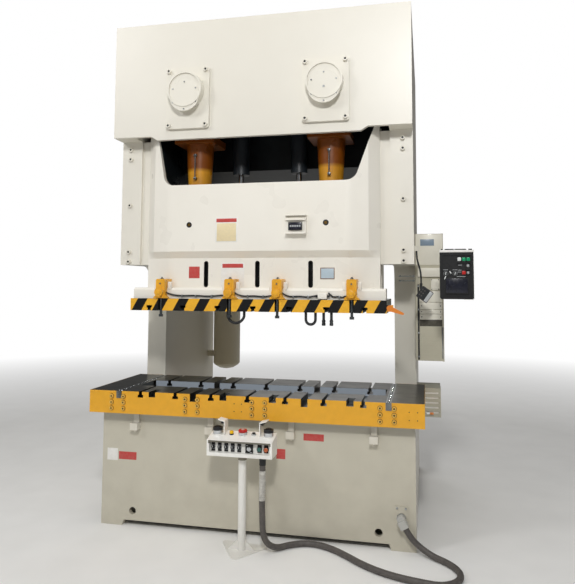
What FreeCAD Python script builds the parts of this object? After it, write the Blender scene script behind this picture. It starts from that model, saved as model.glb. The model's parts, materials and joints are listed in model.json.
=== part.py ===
"""Two-point gap-frame stamping press, about 250 t.

Frame of the model: X to the right, Y to the back, Z up, in millimetres. The origin is on the
floor, in the middle of the bolster, where the centre line of the two connecting rods meets it.
"""
import FreeCAD, Part
import math
import os

import Sketcher

V = FreeCAD.Vector

SIZES = {
    # welded frame
    "frame_width": 2556, "side_thickness": 186, "front_plate": 40, "bed_front": 344,
    "frame_back": 1790, "throat_face": 451, "throat_round": 120, "throat_top": 2137,
    "bed_height": 921, "foot_height": 45, "foot_length": 400, "foot_slope": 14,
    "arm_face": 67, "crown_front": 297, "crown_fall": 365, "crown_rise": 624,
    "crown_drop": 35, "crown_drop_half": 873, "crown_drop_run": 58,
    # bed inside the side frames
    "bed_top_plate": 60, "bed_depth": 1000, "bed_rear_plate": 40, "bed_rib": 60,
    "lifting_hole": 60, "lifting_hole_place": 1000,
    "lifting_hole_height": 120,
    "entry_plate_width": 100, "entry_plate_height": 170, "entry_plate_thickness": 8,
    # crown and gear case
    "case_plate": 40, "case_wall_front": 380, "case_wall": 60, "case_fall": 525,
    "bearing_boss": 180, "bearing_boss_length": 87, "quill_radius": 150, "quill_length": 45,
    # gibs and frame screws
    "gib_plate": 60, "gib_bar_front": 100, "gib_bar_back": 100, "gib_groove_depth": 40,
    "gib_groove_front": 40, "gib_groove_back": 60, "slide_gap": 0.3,
    "screw_head": 36, "screw_head_height": 24, "screw_socket": 19, "screw_socket_depth": 14,
    "gib_screw_inset": 82, "gib_screw_end": 28, "gib_screw_pair": 86,
    # crank covers
    "cover_width": 385, "cover_height": 525, "cover_thickness": 28, "cover_fall": 317,
    "cover_round": 22, "cover_boss": 150, "cover_boss_length": 80, "cover_recess": 136,
    "cover_recess_depth": 12, "cover_screw_inset": 28,
    # drive
    "crank_rise": 1750, "crank_throw": 100, "crank_journal": 100,
    "crank_web": 240, "crank_web_thickness": 60, "crank_pin": 90, "crank_pin_length": 200,
    "pin_end_gap": 0.3, "running_gap": 0.05, "bearing_wall": 28, "journal_front": 290,
    "journal_back": 720, "gear_front": 560, "gear_face": 140, "gear_module": 19.7,
    "gear_teeth": 48, "pinion_teeth": 12, "gear_hub": 180, "gear_rim": 60,
    "gear_web_recess": 45, "gear_holes": 6, "gear_hole_radius": 62, "gear_addendum": 15,
    "gear_dedendum": 22, "gear_backlash": 6, "pinion_extra": 5, "pinion_shaft_radius": 70,
    "pinion_shaft_front": 390, "pinion_shaft_back": 2030,
    "flywheel_radius": 550, "flywheel_front": 1840, "flywheel_width": 170,
    "flywheel_rim": 90, "flywheel_hub": 160, "flywheel_web": 60,
    "belt_count": 3, "belt_pitch": 42, "belt_width": 22, "belt_thickness": 16,
    "belt_stand": 3, "belt_gap": 0.3, "pulley_radius": 140, "motor_base": 30,
    "motor_height": 250, "motor_radius": 215, "motor_front": 1130, "motor_length": 560,
    "motor_foot_width": 420, "motor_shaft": 32, "motor_fins": 24, "motor_fin_depth": 16,
    "motor_fin_width": 12,
    "guard_clearance": 45, "guard_wall": 4, "guard_depth": 262,
    # connecting rods
    "rod_big_end": 215, "rod_thickness": 190, "rod_neck_width": 300, "rod_flange_half": 180,
    "rod_flange_fall": 505, "rod_flange_height": 60, "rod_flange_chamfer": 22,
    "rod_sleeve_top": 122, "rod_sleeve_bottom": 100, "rod_sleeve_end": 2740,
    "rod_screw": 70, "rod_screw_end": 2300, "rod_scale_width": 12, "rod_scale_depth": 6,
    "rod_scale_fall": 270, "rod_scale_length": 192,
    # slide
    "die_opening": 650, "die_plate_height": 100, "die_plate_half": 1070,
    "die_plate_front": 325, "slide_half": 1010, "slide_side_front": 130, "slide_face": 195,
    "slide_bulge": 60, "slide_flat_half": 770, "slide_shoulder_half": 925,
    "slide_shoulder": 45, "slide_curve": 240, "slide_back": 280, "slide_top": 3300,
    "bulge_bottom": 2190, "bulge_slope": 56,
    "cut_floor": 2812, "cut_floor_half": 815, "cut_top_left": 905, "cut_top_right": 985, "cut_round": 100,
    "flange_height": 90, "flange_half": 1062, "flange_front": 285, "flange_bevel": 18,
    "slot_spacing": 450, "slot_bottom": 1944, "slot_height": 222, "slot_width": 40,
    "slot_through": 60, "plug_spread": 1170, "plug_height": 2470, "plug_radius": 24,
    "plug_depth": 20, "nut_radius": 114, "nut_height": 200, "nut_seat": 2450,
    "nut_gap": 0.3, "screw_clearance": 0.3, "sleeve_clearance": 14,
    "slide_tslot_neck": 28, "slide_tslot_head": 48, "slide_tslot_neck_depth": 24,
    "slide_tslot_depth": 44,
    "counter_width": 170, "counter_height": 150, "counter_depth": 60, "counter_hood": 40,
    "counter_x": 344, "counter_bottom": 2379, "counter_window_width": 118,
    "counter_window_height": 68, "counter_window_depth": 8, "counter_sill": 14,
    # die clamps on the slide
    "clamp_inner": 200, "clamp_outer": 800, "clamp_width": 80, "clamp_bottom": 1853,
    "clamp_shoulder": 1880, "clamp_top": 2013, "clamp_front": 335, "clamp_base_half": 65,
    "clamp_knob": 35, "clamp_knob_height": 1903, "clamp_knob_length": 40,
    "clamp_slot_width": 36, "clamp_slot_depth": 40, "clamp_rod": 11, "clamp_rod_front": 310,
    "clamp_rod_top": 1890, "clamp_rod_travel": 10, "clamp_rod_bottom": 1700,
    "clamp_foot": 18, "clamp_foot_height": 20,
    "lever_x": 25, "lever_height": 40, "lever_hub": 24, "lever_thickness": 16,
    "lever_reach": 100, "lever_drop": 40, "lever_tip": 9, "lever_block": 50,
    "lever_block_depth": 36, "lever_pin": 8,
    # clamp hoses
    "hose_radius": 11, "hose_inset": 48, "hose_x_1": -155, "hose_half_1": 70,
    "hose_drop_1": 95, "hose_x_2": 467, "hose_half_2": 39, "hose_drop_2": 96,
    "plug_x_1": 572, "plug_x_2": 634, "plug_drop": 104, "plug_length": 44,
    "plug_tip": 15,
    # pneumatic balancers
    "balancer_x": 270, "balancer_y": 200, "balancer_radius": 75, "balancer_gap": 148,
    "balancer_wall": 16, "balancer_end": 30, "balancer_flange": 100, "balancer_rod": 25,
    "balancer_piston": 50, "balancer_rod_fall": 324,
    # bolster
    "bolster_width": 2700, "bolster_depth": 900, "bolster_thickness": 179,
    "tslot_count": 7, "tslot_pitch": 300, "tslot_neck": 28, "tslot_head": 48,
    "tslot_neck_depth": 24, "tslot_depth": 46, "long_slot_place": 450,
    "long_slot_width": 52, "long_slot_depth": 60, "pocket_inner": 200, "pocket_outer": 800,
    "pocket_width": 56, "pocket_length": 130, "pocket_depth": 40, "channel_half": 1045,
    "channel_front": 156, "channel_back": 120, "channel_depth": 60, "rail_inset": 263,
    "rail_width": 40, "rail_depth": 50, "rail_gap": 0.3, "rail_groove": 20,
    "rail_groove_depth": 8, "bracket_width": 44, "bracket_drop": 56, "bracket_sheet": 6,
    "bracket_bolt": 9, "bracket_bolt_head": 7, "tab_length": 52, "tab_width": 44,
    "bolt_group_width": 104, "bolt_row_1": 42, "bolt_row_2": 90, "bolt_row_3": 139,
    "bolt_head": 15.5, "bolt_head_height": 12, "bolt_socket": 14, "bolt_socket_depth": 6,
    "group_1": -1100, "group_2": -463, "group_3": 88, "group_4": 1076,
    "hold_down_inner": 330, "hold_down_outer": 972, "hold_down_width": 64,
    "hold_down_height": 55, "hold_down_bottom": 783, "hold_down_depth": 70,
    "hold_down_neck": 46, "hold_down_neck_depth": 24, "hold_down_knob": 13,
    "hold_down_knob_height": 18,
    # operator console on its stand
    "pole_x": 8, "pole_y": 590, "pole_radius": 30, "stand_plate": 10,
    "stand_left_x": -197, "stand_left_y": 452, "stand_tip_x": -9, "stand_tip_y": 770,
    "stand_right_x": 205, "stand_right_y": 493, "stand_round": 28, "gusset": 70,
    "gusset_thickness": 8, "console_left": -236, "console_right": 264,
    "console_front": 700, "console_back": 550, "console_bottom": 706,
    "console_front_top": 822, "console_back_top": 860, "console_sheet": 8,
    "console_recess_side": 18, "console_recess_bottom": 26, "console_recess_depth": 38,
    "selector_x": -197, "selector_pitch": 50.5, "selector_z": 764, "selector_radius": 17,
    "selector_bezel": 5, "selector_grip": 16, "selector_grip_width": 8,
    "key_x": 83, "key_side": 56, "key_depth": 10, "lamp_x_1": 161, "lamp_x_2": 211,
    "push_radius": 15, "push_length": 14, "palm_left": -183, "palm_right": 213,
    "palm_back": 95, "palm_ring": 34, "palm_ring_wall": 4, "palm_ring_height": 40,
    "palm_head": 27, "palm_head_height": 16, "palm_stem": 12, "palm_travel": 8,
    "stop_x": 14, "stop_head": 34, "stop_base": 30, "stop_base_height": 10,
    "stop_stem": 12, "stop_head_height": 18, "stop_travel": 6,
    "reset_x": 99, "reset_head": 13, "reset_base": 16, "reset_base_height": 6,
    "reset_rise": 8, "reset_stem": 6, "reset_travel": 4, "beacon_x": -74,
    "beacon_radius": 14, "beacon_height": 18, "hood_left": -122, "hood_right": 147,
    "hood_sheet": 6, "hood_front": 70, "hood_length": 80, "hood_height": 108,
    "hood_roof": 48, "stem_gap": 0.3,
    # free cable between console and bed
    "gland_x": 178, "gland_y": 640, "gland_radius": 25, "gland_length": 60,
    "cable_radius": 22,
    "entry_x": 1170, "entry_z": 243, "entry_gland": 30, "entry_gland_length": 52,
    "elbow_lean": 30, "elbow_length": 56,
    # right-hand side: cabinet, panel, pendant, terminal box
    "cabinet_width": 238, "cabinet_bottom": 1322, "cabinet_top": 2414, "cabinet_front": 300,
    "cabinet_depth": 450, "cabinet_wall": 3, "door_thickness": 20, "door_gap": 2,
    "door_inset": 4, "door_hinge_in": 8, "door_hinge_back": 8, "door_pin": 4, "panel_reach": 84,
    "panel_width": 250, "panel_bottom": 1863, "panel_height": 350, "panel_front": 250,
    "panel_depth": 110, "panel_round": 14, "panel_rim": 14, "panel_rim_depth": 8,
    "arm_z": 2040, "arm_pivot_y": 500, "arm_radius": 24, "arm_hub": 34, "arm_hub_height": 90,
    "arm_pin": 14, "arm_ear": 16, "swivel_y": 80, "screen_width": 150,
    "screen_height": 100, "terminal_width": 207, "terminal_height": 250,
    "terminal_bottom": 818, "terminal_front": 470, "terminal_depth": 300,
    "terminal_slots": 5, "pendant_x": 1358, "pendant_y": 0, "pendant_z": 1894,
    "pendant_side": 104, "pendant_depth": 46, "pendant_tilt": 36, "boot_x": 1330,
    "boot_top": 1985, "boot_radius": 10, "pendant_cable": 7,
    "hook_z": 2268, "hook_reach": 36, "hook_size": 40,
    "receiver_x": -870, "receiver_y": 1630, "receiver_radius": 150,
    "receiver_bottom": 1010, "receiver_top": 2700, "receiver_dome": 70,
    "receiver_bracket": 60,
}

doc = FreeCAD.newDocument("stamping_press")
sheet = doc.addObject("Spreadsheet::Sheet", "dims")


class Size:
    """A length that knows its value in mm and the sheet expression that gives it."""

    def __init__(self, value, text):
        self.value = float(value)
        self.text = text

    def joined(self, other, sign, value):
        return Size(value, f"({self.text} {sign} {other.text})")

    def __add__(self, other):
        other = as_size(other)
        return self.joined(other, "+", self.value + other.value)

    def __radd__(self, other):
        return as_size(other) + self

    def __sub__(self, other):
        other = as_size(other)
        return self.joined(other, "-", self.value - other.value)

    def __rsub__(self, other):
        return as_size(other) - self

    def __mul__(self, other):
        other = as_size(other)
        return self.joined(other, "*", self.value * other.value)

    def __rmul__(self, other):
        return as_size(other) * self

    def __truediv__(self, other):
        other = as_size(other)
        return self.joined(other, "/", self.value / other.value)

    def __neg__(self):
        return Size(-self.value, f"(0 - {self.text})")


def as_size(number):
    """A plain number, or a size, as a size."""
    return number if isinstance(number, Size) else Size(number, f"{float(number):.9g}")


class Sheet:
    """Every driving dimension, as an attribute."""


s = Sheet()
for row, (name, value) in enumerate(SIZES.items(), 1):
    sheet.set(f"A{row}", name)
    sheet.set(f"B{row}", str(value))
    sheet.setAlias(f"B{row}", name)
    setattr(s, name, Size(value, f"dims.{name}"))
doc.recompute()

parts = {}


# ---------------------------------------------------------------- shared ways of making
def body(label):
    """A new, empty part."""
    made = doc.addObject("PartDesign::Body", label)
    made.Label = label
    made.AllowCompound = True
    parts[label] = made
    return made


def drawing(part, plane, height, outlines):
    """A sketch parallel to an origin plane of the part, at a height along its normal."""
    made = part.newObject("Sketcher::SketchObject", f"{part.Name}_sketch")
    for feature in part.Origin.OriginFeatures:
        if feature.Role == f"{plane}_Plane":
            made.AttachmentSupport = (feature, [""])
    made.MapMode = "FlatFace"
    made.setExpression("AttachmentOffset.Base.z", as_size(height).text)
    for outline in outlines:
        outline(made)
    return made


def fix(made, kind, geometry, point, size):
    """One coordinate of a point of the sketch, bound to the sheet."""
    size = as_size(size)
    number = made.addConstraint(Sketcher.Constraint(kind, -1, 1, geometry, point, size.value))
    made.setExpression(f"Constraints[{number}]", size.text)


def polygon(corners):
    """A closed outline through corners, each an (across, up) pair of sizes."""
    corners = [(as_size(across), as_size(up)) for across, up in corners]

    def draw(made):
        ends = [V(across.value, up.value, 0) for across, up in corners]
        lines = [made.addGeometry(Part.LineSegment(a, b))
                 for a, b in zip(ends, ends[1:] + ends[:1])]
        for line, following in zip(lines, lines[1:] + lines[:1]):
            made.addConstraint(Sketcher.Constraint("Coincident", line, 2, following, 1))
        for line, (across, up) in zip(lines, corners):
            fix(made, "DistanceX", line, 1, across)
            fix(made, "DistanceY", line, 1, up)
    return draw


def rectangle(left, low, right, high):
    return polygon([(left, low), (right, low), (right, high), (left, high)])


def circle(across, up, radius):
    across, up, radius = as_size(across), as_size(up), as_size(radius)

    def draw(made):
        shape = Part.Circle(V(across.value, up.value, 0), V(0, 0, 1), radius.value)
        ring = made.addGeometry(shape)
        number = made.addConstraint(Sketcher.Constraint("Radius", ring, radius.value))
        made.setExpression(f"Constraints[{number}]", radius.text)
        fix(made, "DistanceX", ring, 3, across)
        fix(made, "DistanceY", ring, 3, up)
    return draw


def rounded(left, low, right, high, radius):
    """A rectangle with round corners."""
    left, low, right, high = [as_size(size) for size in (left, low, right, high)]
    radius = as_size(radius)
    near, far, under, over = left + radius, right - radius, low + radius, high - radius
    sides_of = [((near, low), (far, low), (far, under)), ((right, under), (right, over),
                (far, over)), ((far, high), (near, high), (near, over)),
                ((left, over), (left, under), (near, under))]

    def draw(made):
        pieces = []
        for number, (start, end, middle) in enumerate(sides_of):
            line = Part.LineSegment(V(start[0].value, start[1].value, 0),
                                    V(end[0].value, end[1].value, 0))
            ring = Part.Circle(V(middle[0].value, middle[1].value, 0), V(0, 0, 1),
                               radius.value)
            turned = math.pi / 2 * (number - 1)
            arc = Part.ArcOfCircle(ring, turned, turned + math.pi / 2)
            pieces.append((made.addGeometry(line), made.addGeometry(arc), start, end))
        for number, (line, arc, start, end) in enumerate(pieces):
            following = pieces[(number + 1) % 4][0]
            made.addConstraint(Sketcher.Constraint("Coincident", line, 2, arc, 1))
            made.addConstraint(Sketcher.Constraint("Coincident", arc, 2, following, 1))
            for point, spot in ((1, start), (2, end)):
                fix(made, "DistanceX", line, point, spot[0])
                fix(made, "DistanceY", line, point, spot[1])
            bound = made.addConstraint(Sketcher.Constraint("Radius", arc, radius.value))
            made.setExpression(f"Constraints[{bound}]", radius.text)
    return draw


def hexagon(across, up, flats):
    """A hexagon socket, given by its width across flats."""
    reach = as_size(flats) / 2 / math.cos(math.pi / 6)
    turns = [math.radians(60 * corner) for corner in range(6)]
    return polygon([(across + reach * math.cos(turn), up + reach * math.sin(turn))
                    for turn in turns])


def added(part, feature):
    """The part with one more feature, recomputed and found valid."""
    part.Tip = feature
    doc.recompute()
    if "Invalid" in feature.State or feature.Shape.isNull():
        raise ValueError(f"{feature.Name} of {part.Label} fails")
    return feature


def extrude(part, plane, start, length, outlines):
    """Material from start, over a length along the plane's positive axis."""
    start, length = as_size(start), as_size(length)
    height = -(start + length) if plane == "XZ" else start
    pad = part.newObject("PartDesign::Pad", f"{part.Name}_pad")
    pad.Profile = drawing(part, plane, height, outlines)
    pad.setExpression("Length", length.text)
    return added(part, pad)


def cut(part, plane, start, length, outlines):
    """A pocket from start, over a length along the plane's positive axis."""
    start, length = as_size(start), as_size(length)
    height = -start if plane == "XZ" else start + length
    before = part.Shape.Volume
    pocket = part.newObject("PartDesign::Pocket", f"{part.Name}_pocket")
    pocket.Profile = drawing(part, plane, height, outlines)
    pocket.setExpression("Length", length.text)
    added(part, pocket)
    if part.Shape.Volume >= before:
        raise ValueError(f"a pocket of {part.Label} removes nothing")
    return pocket


def taper(part, low, low_corners, high, high_corners):
    """Material between two level outlines with as many corners, by straight faces."""
    loft = part.newObject("PartDesign::AdditiveLoft", f"{part.Name}_taper")
    loft.Profile = drawing(part, "XY", low, [polygon(low_corners)])
    loft.Sections = [drawing(part, "XY", high, [polygon(high_corners)])]
    loft.Ruled = True
    return added(part, loft)


def turn(part, outline, plane="XZ", axis="V_Axis"):
    """A turned form: an outline beside the axis, revolved once round it."""
    revolution = part.newObject("PartDesign::Revolution", f"{part.Name}_turned")
    made = drawing(part, plane, 0, [polygon(outline)])
    revolution.Profile = made
    revolution.ReferenceAxis = (made, [axis])
    revolution.Angle = 360
    return added(part, revolution)


def place(part, across=0, back=0, up=0):
    """The part's own origin, put at a point of the press."""
    for letter, size in zip("xyz", (across, back, up)):
        part.setExpression(f"Placement.Base.{letter}", as_size(size).text)


def edges_at(part, corners, axis):
    """Names of the edges along an axis that stand on the given corners."""
    flat = [index for index in range(3) if index != "XYZ".index(axis)]
    spots = [(as_size(a).value, as_size(b).value) for a, b in corners]
    names = []
    for number, edge in enumerate(part.Tip.Shape.Edges, 1):
        ends = [vertex.Point for vertex in edge.Vertexes]
        if len(ends) != 2:
            continue
        for a, b in spots:
            if all(abs(end[flat[0]] - a) < 0.01 and abs(end[flat[1]] - b) < 0.01
                   for end in ends):
                names.append(f"Edge{number}")
    return names


def soften(part, corners, axis, radius, kind="Fillet"):
    """Round or bevel the edges along an axis that stand on the given corners."""
    names = edges_at(part, corners, axis)
    if not names:
        raise ValueError(f"{part.Label} has no edge to round")
    base = part.Tip
    made = part.newObject(f"PartDesign::{kind}", f"{part.Name}_{kind.lower()}")
    made.Base = (base, names)
    made.setExpression("Radius" if kind == "Fillet" else "Size", as_size(radius).text)
    return added(part, made)


def sides(size):
    """The same distance to the left and to the right."""
    return (-size, size)


def corners_of(left, low, right, high):
    return [(left, low), (right, low), (right, high), (left, high)]


def solid(label, shape):
    """A part whose form is computed point by point."""
    made = doc.addObject("Part::Feature", label)
    made.Label = label
    made.Shape = shape
    parts[label] = made
    return made


# ---------------------------------------------------------------- sizes that follow
frame_half = s.frame_width / 2
side_inner = frame_half - s.side_thickness
bed_plate_back = -s.bed_front + s.front_plate
crown_plate_back = -s.crown_front + s.front_plate
gib_front = -s.arm_face - s.gib_plate
bolster_top = s.bed_height + s.bolster_thickness
die_plate_bottom = bolster_top + s.die_opening
slide_bottom = die_plate_bottom + s.die_plate_height
crank_x = s.gear_module * (s.gear_teeth + s.pinion_teeth) / 2
crank_height = slide_bottom + s.crank_rise
crown_bottom = crank_height - s.crown_fall
crown_top = crank_height + s.crown_rise
case_floor = crank_height - s.case_fall
cover_bottom = crank_height - s.cover_fall
pin_height = crank_height + s.crank_throw
rod_flange_bottom = pin_height - s.rod_flange_fall
rod_scale_bottom = rod_flange_bottom - s.rod_scale_fall
balancer_bottom = s.cut_floor + s.balancer_gap
balancer_rod_top = crown_top - s.balancer_rod_fall
rail_place = s.bolster_width / 2 - s.rail_inset
web_inner = s.crank_pin_length / 2 + s.pin_end_gap
web_outer = web_inner + s.crank_web_thickness
bore_of_bearing = s.crank_journal + s.running_gap
bearing_outer = s.crank_journal + s.bearing_wall
case_back = s.case_wall_front + s.case_wall
cabinet_right = frame_half + s.cabinet_width
panel_x = cabinet_right + s.panel_reach
entry_front = -s.bed_front - s.entry_plate_thickness - s.entry_gland_length
motor_axis = crown_top + s.motor_base + s.motor_height


# ---------------------------------------------------------------- welded frame
def make_side_frame(label, left):
    """One C-shaped side of the frame, burnt from plate and boxed."""
    side = body(label)
    foot, rise, run = s.foot_length, s.foot_height, s.foot_slope
    profile = [(bed_plate_back, 0), (bed_plate_back + foot, 0),
               (bed_plate_back + foot + run, rise), (s.frame_back - foot - run, rise),
               (s.frame_back - foot, 0), (s.frame_back, 0), (s.frame_back, crown_top),
               (crown_plate_back, crown_top), (crown_plate_back, crown_bottom),
               (-s.arm_face, crown_bottom), (-s.arm_face, s.throat_top),
               (s.throat_face, s.throat_top), (s.throat_face, s.bed_height),
               (bed_plate_back, s.bed_height)]
    extrude(side, "YZ", left, s.side_thickness, [polygon(profile)])
    soften(side, [(s.throat_face, s.throat_top)], "X", s.throat_round)
    return side


def add_hook(side):
    """The lug on the right side frame from which the pendant's cable hangs."""
    half = s.hook_size / 2
    extrude(side, "XZ", s.pendant_y - half, s.hook_size,
            [rectangle(frame_half, s.hook_z - half, frame_half + s.hook_reach,
                       s.hook_z + half)])


def make_bed():
    """The bed between the side frames, with the front plate that closes all of it."""
    bed = body("bed_frame")
    low, high = s.foot_height, s.bed_height
    under = high - s.bed_top_plate
    rear = s.bed_depth - s.bed_rear_plate
    section = [(bed_plate_back, high), (bed_plate_back, under), (rear, under), (rear, low),
               (s.bed_depth, low), (s.bed_depth, high)]
    extrude(bed, "YZ", -side_inner, side_inner * 2, [polygon(section)])
    foot = side_inner - s.foot_slope
    front = [(-frame_half, 0), (-side_inner, 0), (-foot, low), (foot, low), (side_inner, 0),
             (frame_half, 0), (frame_half, high), (-frame_half, high)]
    extrude(bed, "XZ", -s.bed_front, s.front_plate, [polygon(front)])
    extrude(bed, "YZ", -s.bed_rib / 2, s.bed_rib,
            [rectangle(bed_plate_back, low, rear, under)])
    extrude(bed, "XZ", -s.bed_front - s.entry_plate_thickness, s.entry_plate_thickness,
            [rectangle(s.entry_x - s.entry_plate_width / 2, s.entry_z - s.entry_plate_height / 2,
                       s.entry_x + s.entry_plate_width / 2,
                       s.entry_z + s.entry_plate_height / 2)])
    cut(bed, "XZ", -s.bed_front, s.front_plate,
        [circle(x, s.lifting_hole_height, s.lifting_hole / 2)
         for x in sides(s.lifting_hole_place)])
    cut(bed, "XZ", -s.bed_front - s.entry_plate_thickness,
        s.front_plate + s.entry_plate_thickness, [circle(s.entry_x, s.entry_z, s.cable_radius)])


def make_crown():
    """The crown: front plate, top plate and the gear case behind it, in one weldment."""
    crown = body("crown_housing")
    plate = s.case_plate
    top_under = crown_top - plate
    section = [(crown_plate_back, crown_top), (crown_plate_back, top_under),
               (s.case_wall_front, top_under), (s.case_wall_front, case_floor - plate),
               (s.frame_back, case_floor - plate), (s.frame_back, crown_top)]
    inside = rectangle(case_back, case_floor, s.frame_back - plate, top_under)
    extrude(crown, "YZ", -side_inner, side_inner * 2, [polygon(section), inside])
    drop, run, half = crown_bottom - s.crown_drop, s.crown_drop_run, s.crown_drop_half
    front = [(-frame_half, crown_bottom), (-half - run, crown_bottom), (-half, drop),
             (half, drop), (half + run, crown_bottom), (frame_half, crown_bottom),
             (frame_half, crown_top), (-frame_half, crown_top)]
    extrude(crown, "XZ", -s.crown_front, s.front_plate, [polygon(front)])
    extrude(crown, "XZ", crown_plate_back, s.bearing_boss_length,
            [circle(x, crank_height, s.bearing_boss) for x in sides(crank_x)])
    extrude(crown, "XZ", s.frame_back, s.quill_length,
            [circle(0, crank_height, s.quill_radius)])
    cut(crown, "XZ", -s.crown_front, s.front_plate + s.bearing_boss_length,
        [circle(x, crank_height, bearing_outer) for x in sides(crank_x)])
    cut(crown, "XZ", s.case_wall_front, s.case_wall,
        [circle(x, crank_height, bearing_outer) for x in sides(crank_x)]
        + [circle(0, crank_height, s.pinion_shaft_radius + s.running_gap)])
    cut(crown, "XZ", s.frame_back - plate, plate + s.quill_length,
        [circle(0, crank_height, s.pinion_shaft_radius + s.running_gap)])


def make_gibs():
    """The two gibs that guide the slide: a screwed-on plate and a bar with a tongue."""
    gibs = body("slide_gibs")
    bar, tongue = s.slide_half + s.slide_gap, s.slide_half - s.gib_groove_depth + s.slide_gap
    section = [(frame_half, gib_front), (frame_half, -s.arm_face), (side_inner, -s.arm_face),
               (side_inner, s.gib_bar_back), (bar, s.gib_bar_back),
               (bar, s.gib_groove_back - s.slide_gap), (tongue, s.gib_groove_back - s.slide_gap),
               (tongue, -s.gib_groove_front + s.slide_gap),
               (bar, -s.gib_groove_front + s.slide_gap), (bar, -s.gib_bar_front),
               (side_inner, -s.gib_bar_front), (side_inner, gib_front)]
    mirrored = [(-x, y) for x, y in reversed(section)]
    height = crown_bottom - s.throat_top
    extrude(gibs, "XY", s.throat_top, height, [polygon(section), polygon(mirrored)])


def screw_places():
    """Where the socket screws of the gibs and of the crank covers sit, with their seats."""
    low = s.throat_top + s.gib_screw_end
    high = crown_bottom - s.gib_screw_end - s.gib_screw_pair / 2
    heights = [low, low + s.gib_screw_pair, (low + high) / 2, high - s.gib_screw_pair, high]
    gib = [(x, z) for x in sides(frame_half - s.gib_screw_inset) for z in heights]
    inset, half = s.cover_screw_inset, s.cover_width / 2
    cover = [(x + dx, z) for x in sides(crank_x) for dx in sides(half - inset)
             for z in (cover_bottom + inset, cover_bottom + s.cover_height - inset)]
    return gib, cover


def make_frame_screws():
    screws = body("frame_screws")
    gib, cover = screw_places()
    for spots, seat in ((gib, gib_front), (cover, -s.crown_front - s.cover_thickness)):
        front = seat - s.screw_head_height
        extrude(screws, "XZ", front, s.screw_head_height,
                [circle(x, z, s.screw_head / 2) for x, z in spots])
        cut(screws, "XZ", front, s.screw_socket_depth,
            [hexagon(x, z, s.screw_socket) for x, z in spots])


def make_crank_covers():
    covers = body("crank_covers")
    half, low, high = s.cover_width / 2, cover_bottom, cover_bottom + s.cover_height
    front = -s.crown_front - s.cover_thickness
    extrude(covers, "XZ", front, s.cover_thickness,
            [rounded(x - half, low, x + half, high, s.cover_round) for x in sides(crank_x)])
    extrude(covers, "XZ", front - s.cover_boss_length, s.cover_boss_length,
            [circle(x, crank_height, s.cover_boss) for x in sides(crank_x)])
    cut(covers, "XZ", front - s.cover_boss_length, s.cover_recess_depth,
        [circle(x, crank_height, s.cover_recess) for x in sides(crank_x)])


# ---------------------------------------------------------------- drive
def make_bearings():
    """Bronze bushes of the two crankshafts, front and rear."""
    bushes = body("crank_bearings")
    rings = [ring for x in sides(crank_x)
             for ring in (circle(x, crank_height, bearing_outer),
                          circle(x, crank_height, bore_of_bearing))]
    extrude(bushes, "XZ", -s.crown_front, s.front_plate + s.bearing_boss_length, rings)
    extrude(bushes, "XZ", s.case_wall_front, s.case_wall, rings)


def make_crankshaft(label, x):
    """A built-up crankshaft: front and rear webs with their journals, turned."""
    shaft = body(label)
    turn(shaft, [(0, -s.journal_front), (s.crank_journal, -s.journal_front),
                 (s.crank_journal, -web_outer), (s.crank_web, -web_outer),
                 (s.crank_web, -web_inner), (0, -web_inner)], "XY")
    turn(shaft, [(0, web_inner), (s.crank_web, web_inner), (s.crank_web, web_outer),
                 (s.crank_journal, web_outer), (s.crank_journal, s.journal_back),
                 (0, s.journal_back)], "XY")
    place(shaft, x, 0, crank_height)


def make_crank_pin(label, x):
    pin = body(label)
    extrude(pin, "XZ", -s.crank_pin_length / 2, s.crank_pin_length, [circle(0, 0, s.crank_pin)])
    place(pin, x, 0, pin_height)


def gear_outline(teeth, turned=0.0):
    """A spur gear's outline: four points a tooth, with flanks at the pressure angle."""
    module, backlash = s.gear_module.value, s.gear_backlash.value
    up, down = s.gear_addendum.value, s.gear_dedendum.value
    pitch_radius = module * teeth / 2
    slope = math.tan(math.radians(20))
    half = math.pi * module / 4 - backlash / 2
    points = []
    for tooth in range(teeth):
        middle = turned + 2 * math.pi * tooth / teeth
        for reach, width in ((-down, half + down * slope), (up, half - up * slope),
                             (up, -half + up * slope), (-down, -half - down * slope)):
            radius = pitch_radius + reach
            angle = middle - width / radius
            points.append(V(radius * math.cos(angle), 0, radius * math.sin(angle)))
    return points


def prism(points, front, length):
    """A straight form along Y over a closed outline of points."""
    wire = Part.makePolygon(points + points[:1])
    made = Part.Face(wire).extrude(V(0, length, 0))
    made.translate(V(0, front, 0))
    return made


def drum(radius, front, length, x=0, z=0):
    return Part.makeCylinder(radius, length, V(x, front, z), V(0, 1, 0))


def make_main_gear(label, x, turned):
    """A crank gear: toothed rim, thin web with holes, and hub on the crankshaft."""
    teeth = int(s.gear_teeth.value)
    front, face = s.gear_front.value, s.gear_face.value
    recess, hub = s.gear_web_recess.value, s.gear_hub.value
    root = s.gear_module.value * teeth / 2 - s.gear_dedendum.value
    gear = prism(gear_outline(teeth, turned), front, face)
    for start in (front, front + face - recess):
        ring = drum(root - s.gear_rim.value, start, recess).cut(drum(hub, start, recess))
        gear = gear.cut(ring)
    middle = (root - s.gear_rim.value + hub) / 2
    for number in range(int(s.gear_holes.value)):
        angle = 2 * math.pi * number / s.gear_holes.value
        gear = gear.cut(drum(s.gear_hole_radius.value, front, face, middle * math.cos(angle),
                             middle * math.sin(angle)))
    gear = gear.cut(drum(s.crank_journal.value, front, face))
    made = solid(label, gear)
    made.Placement = FreeCAD.Placement(V(x.value, 0, crank_height.value), FreeCAD.Rotation())


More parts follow.
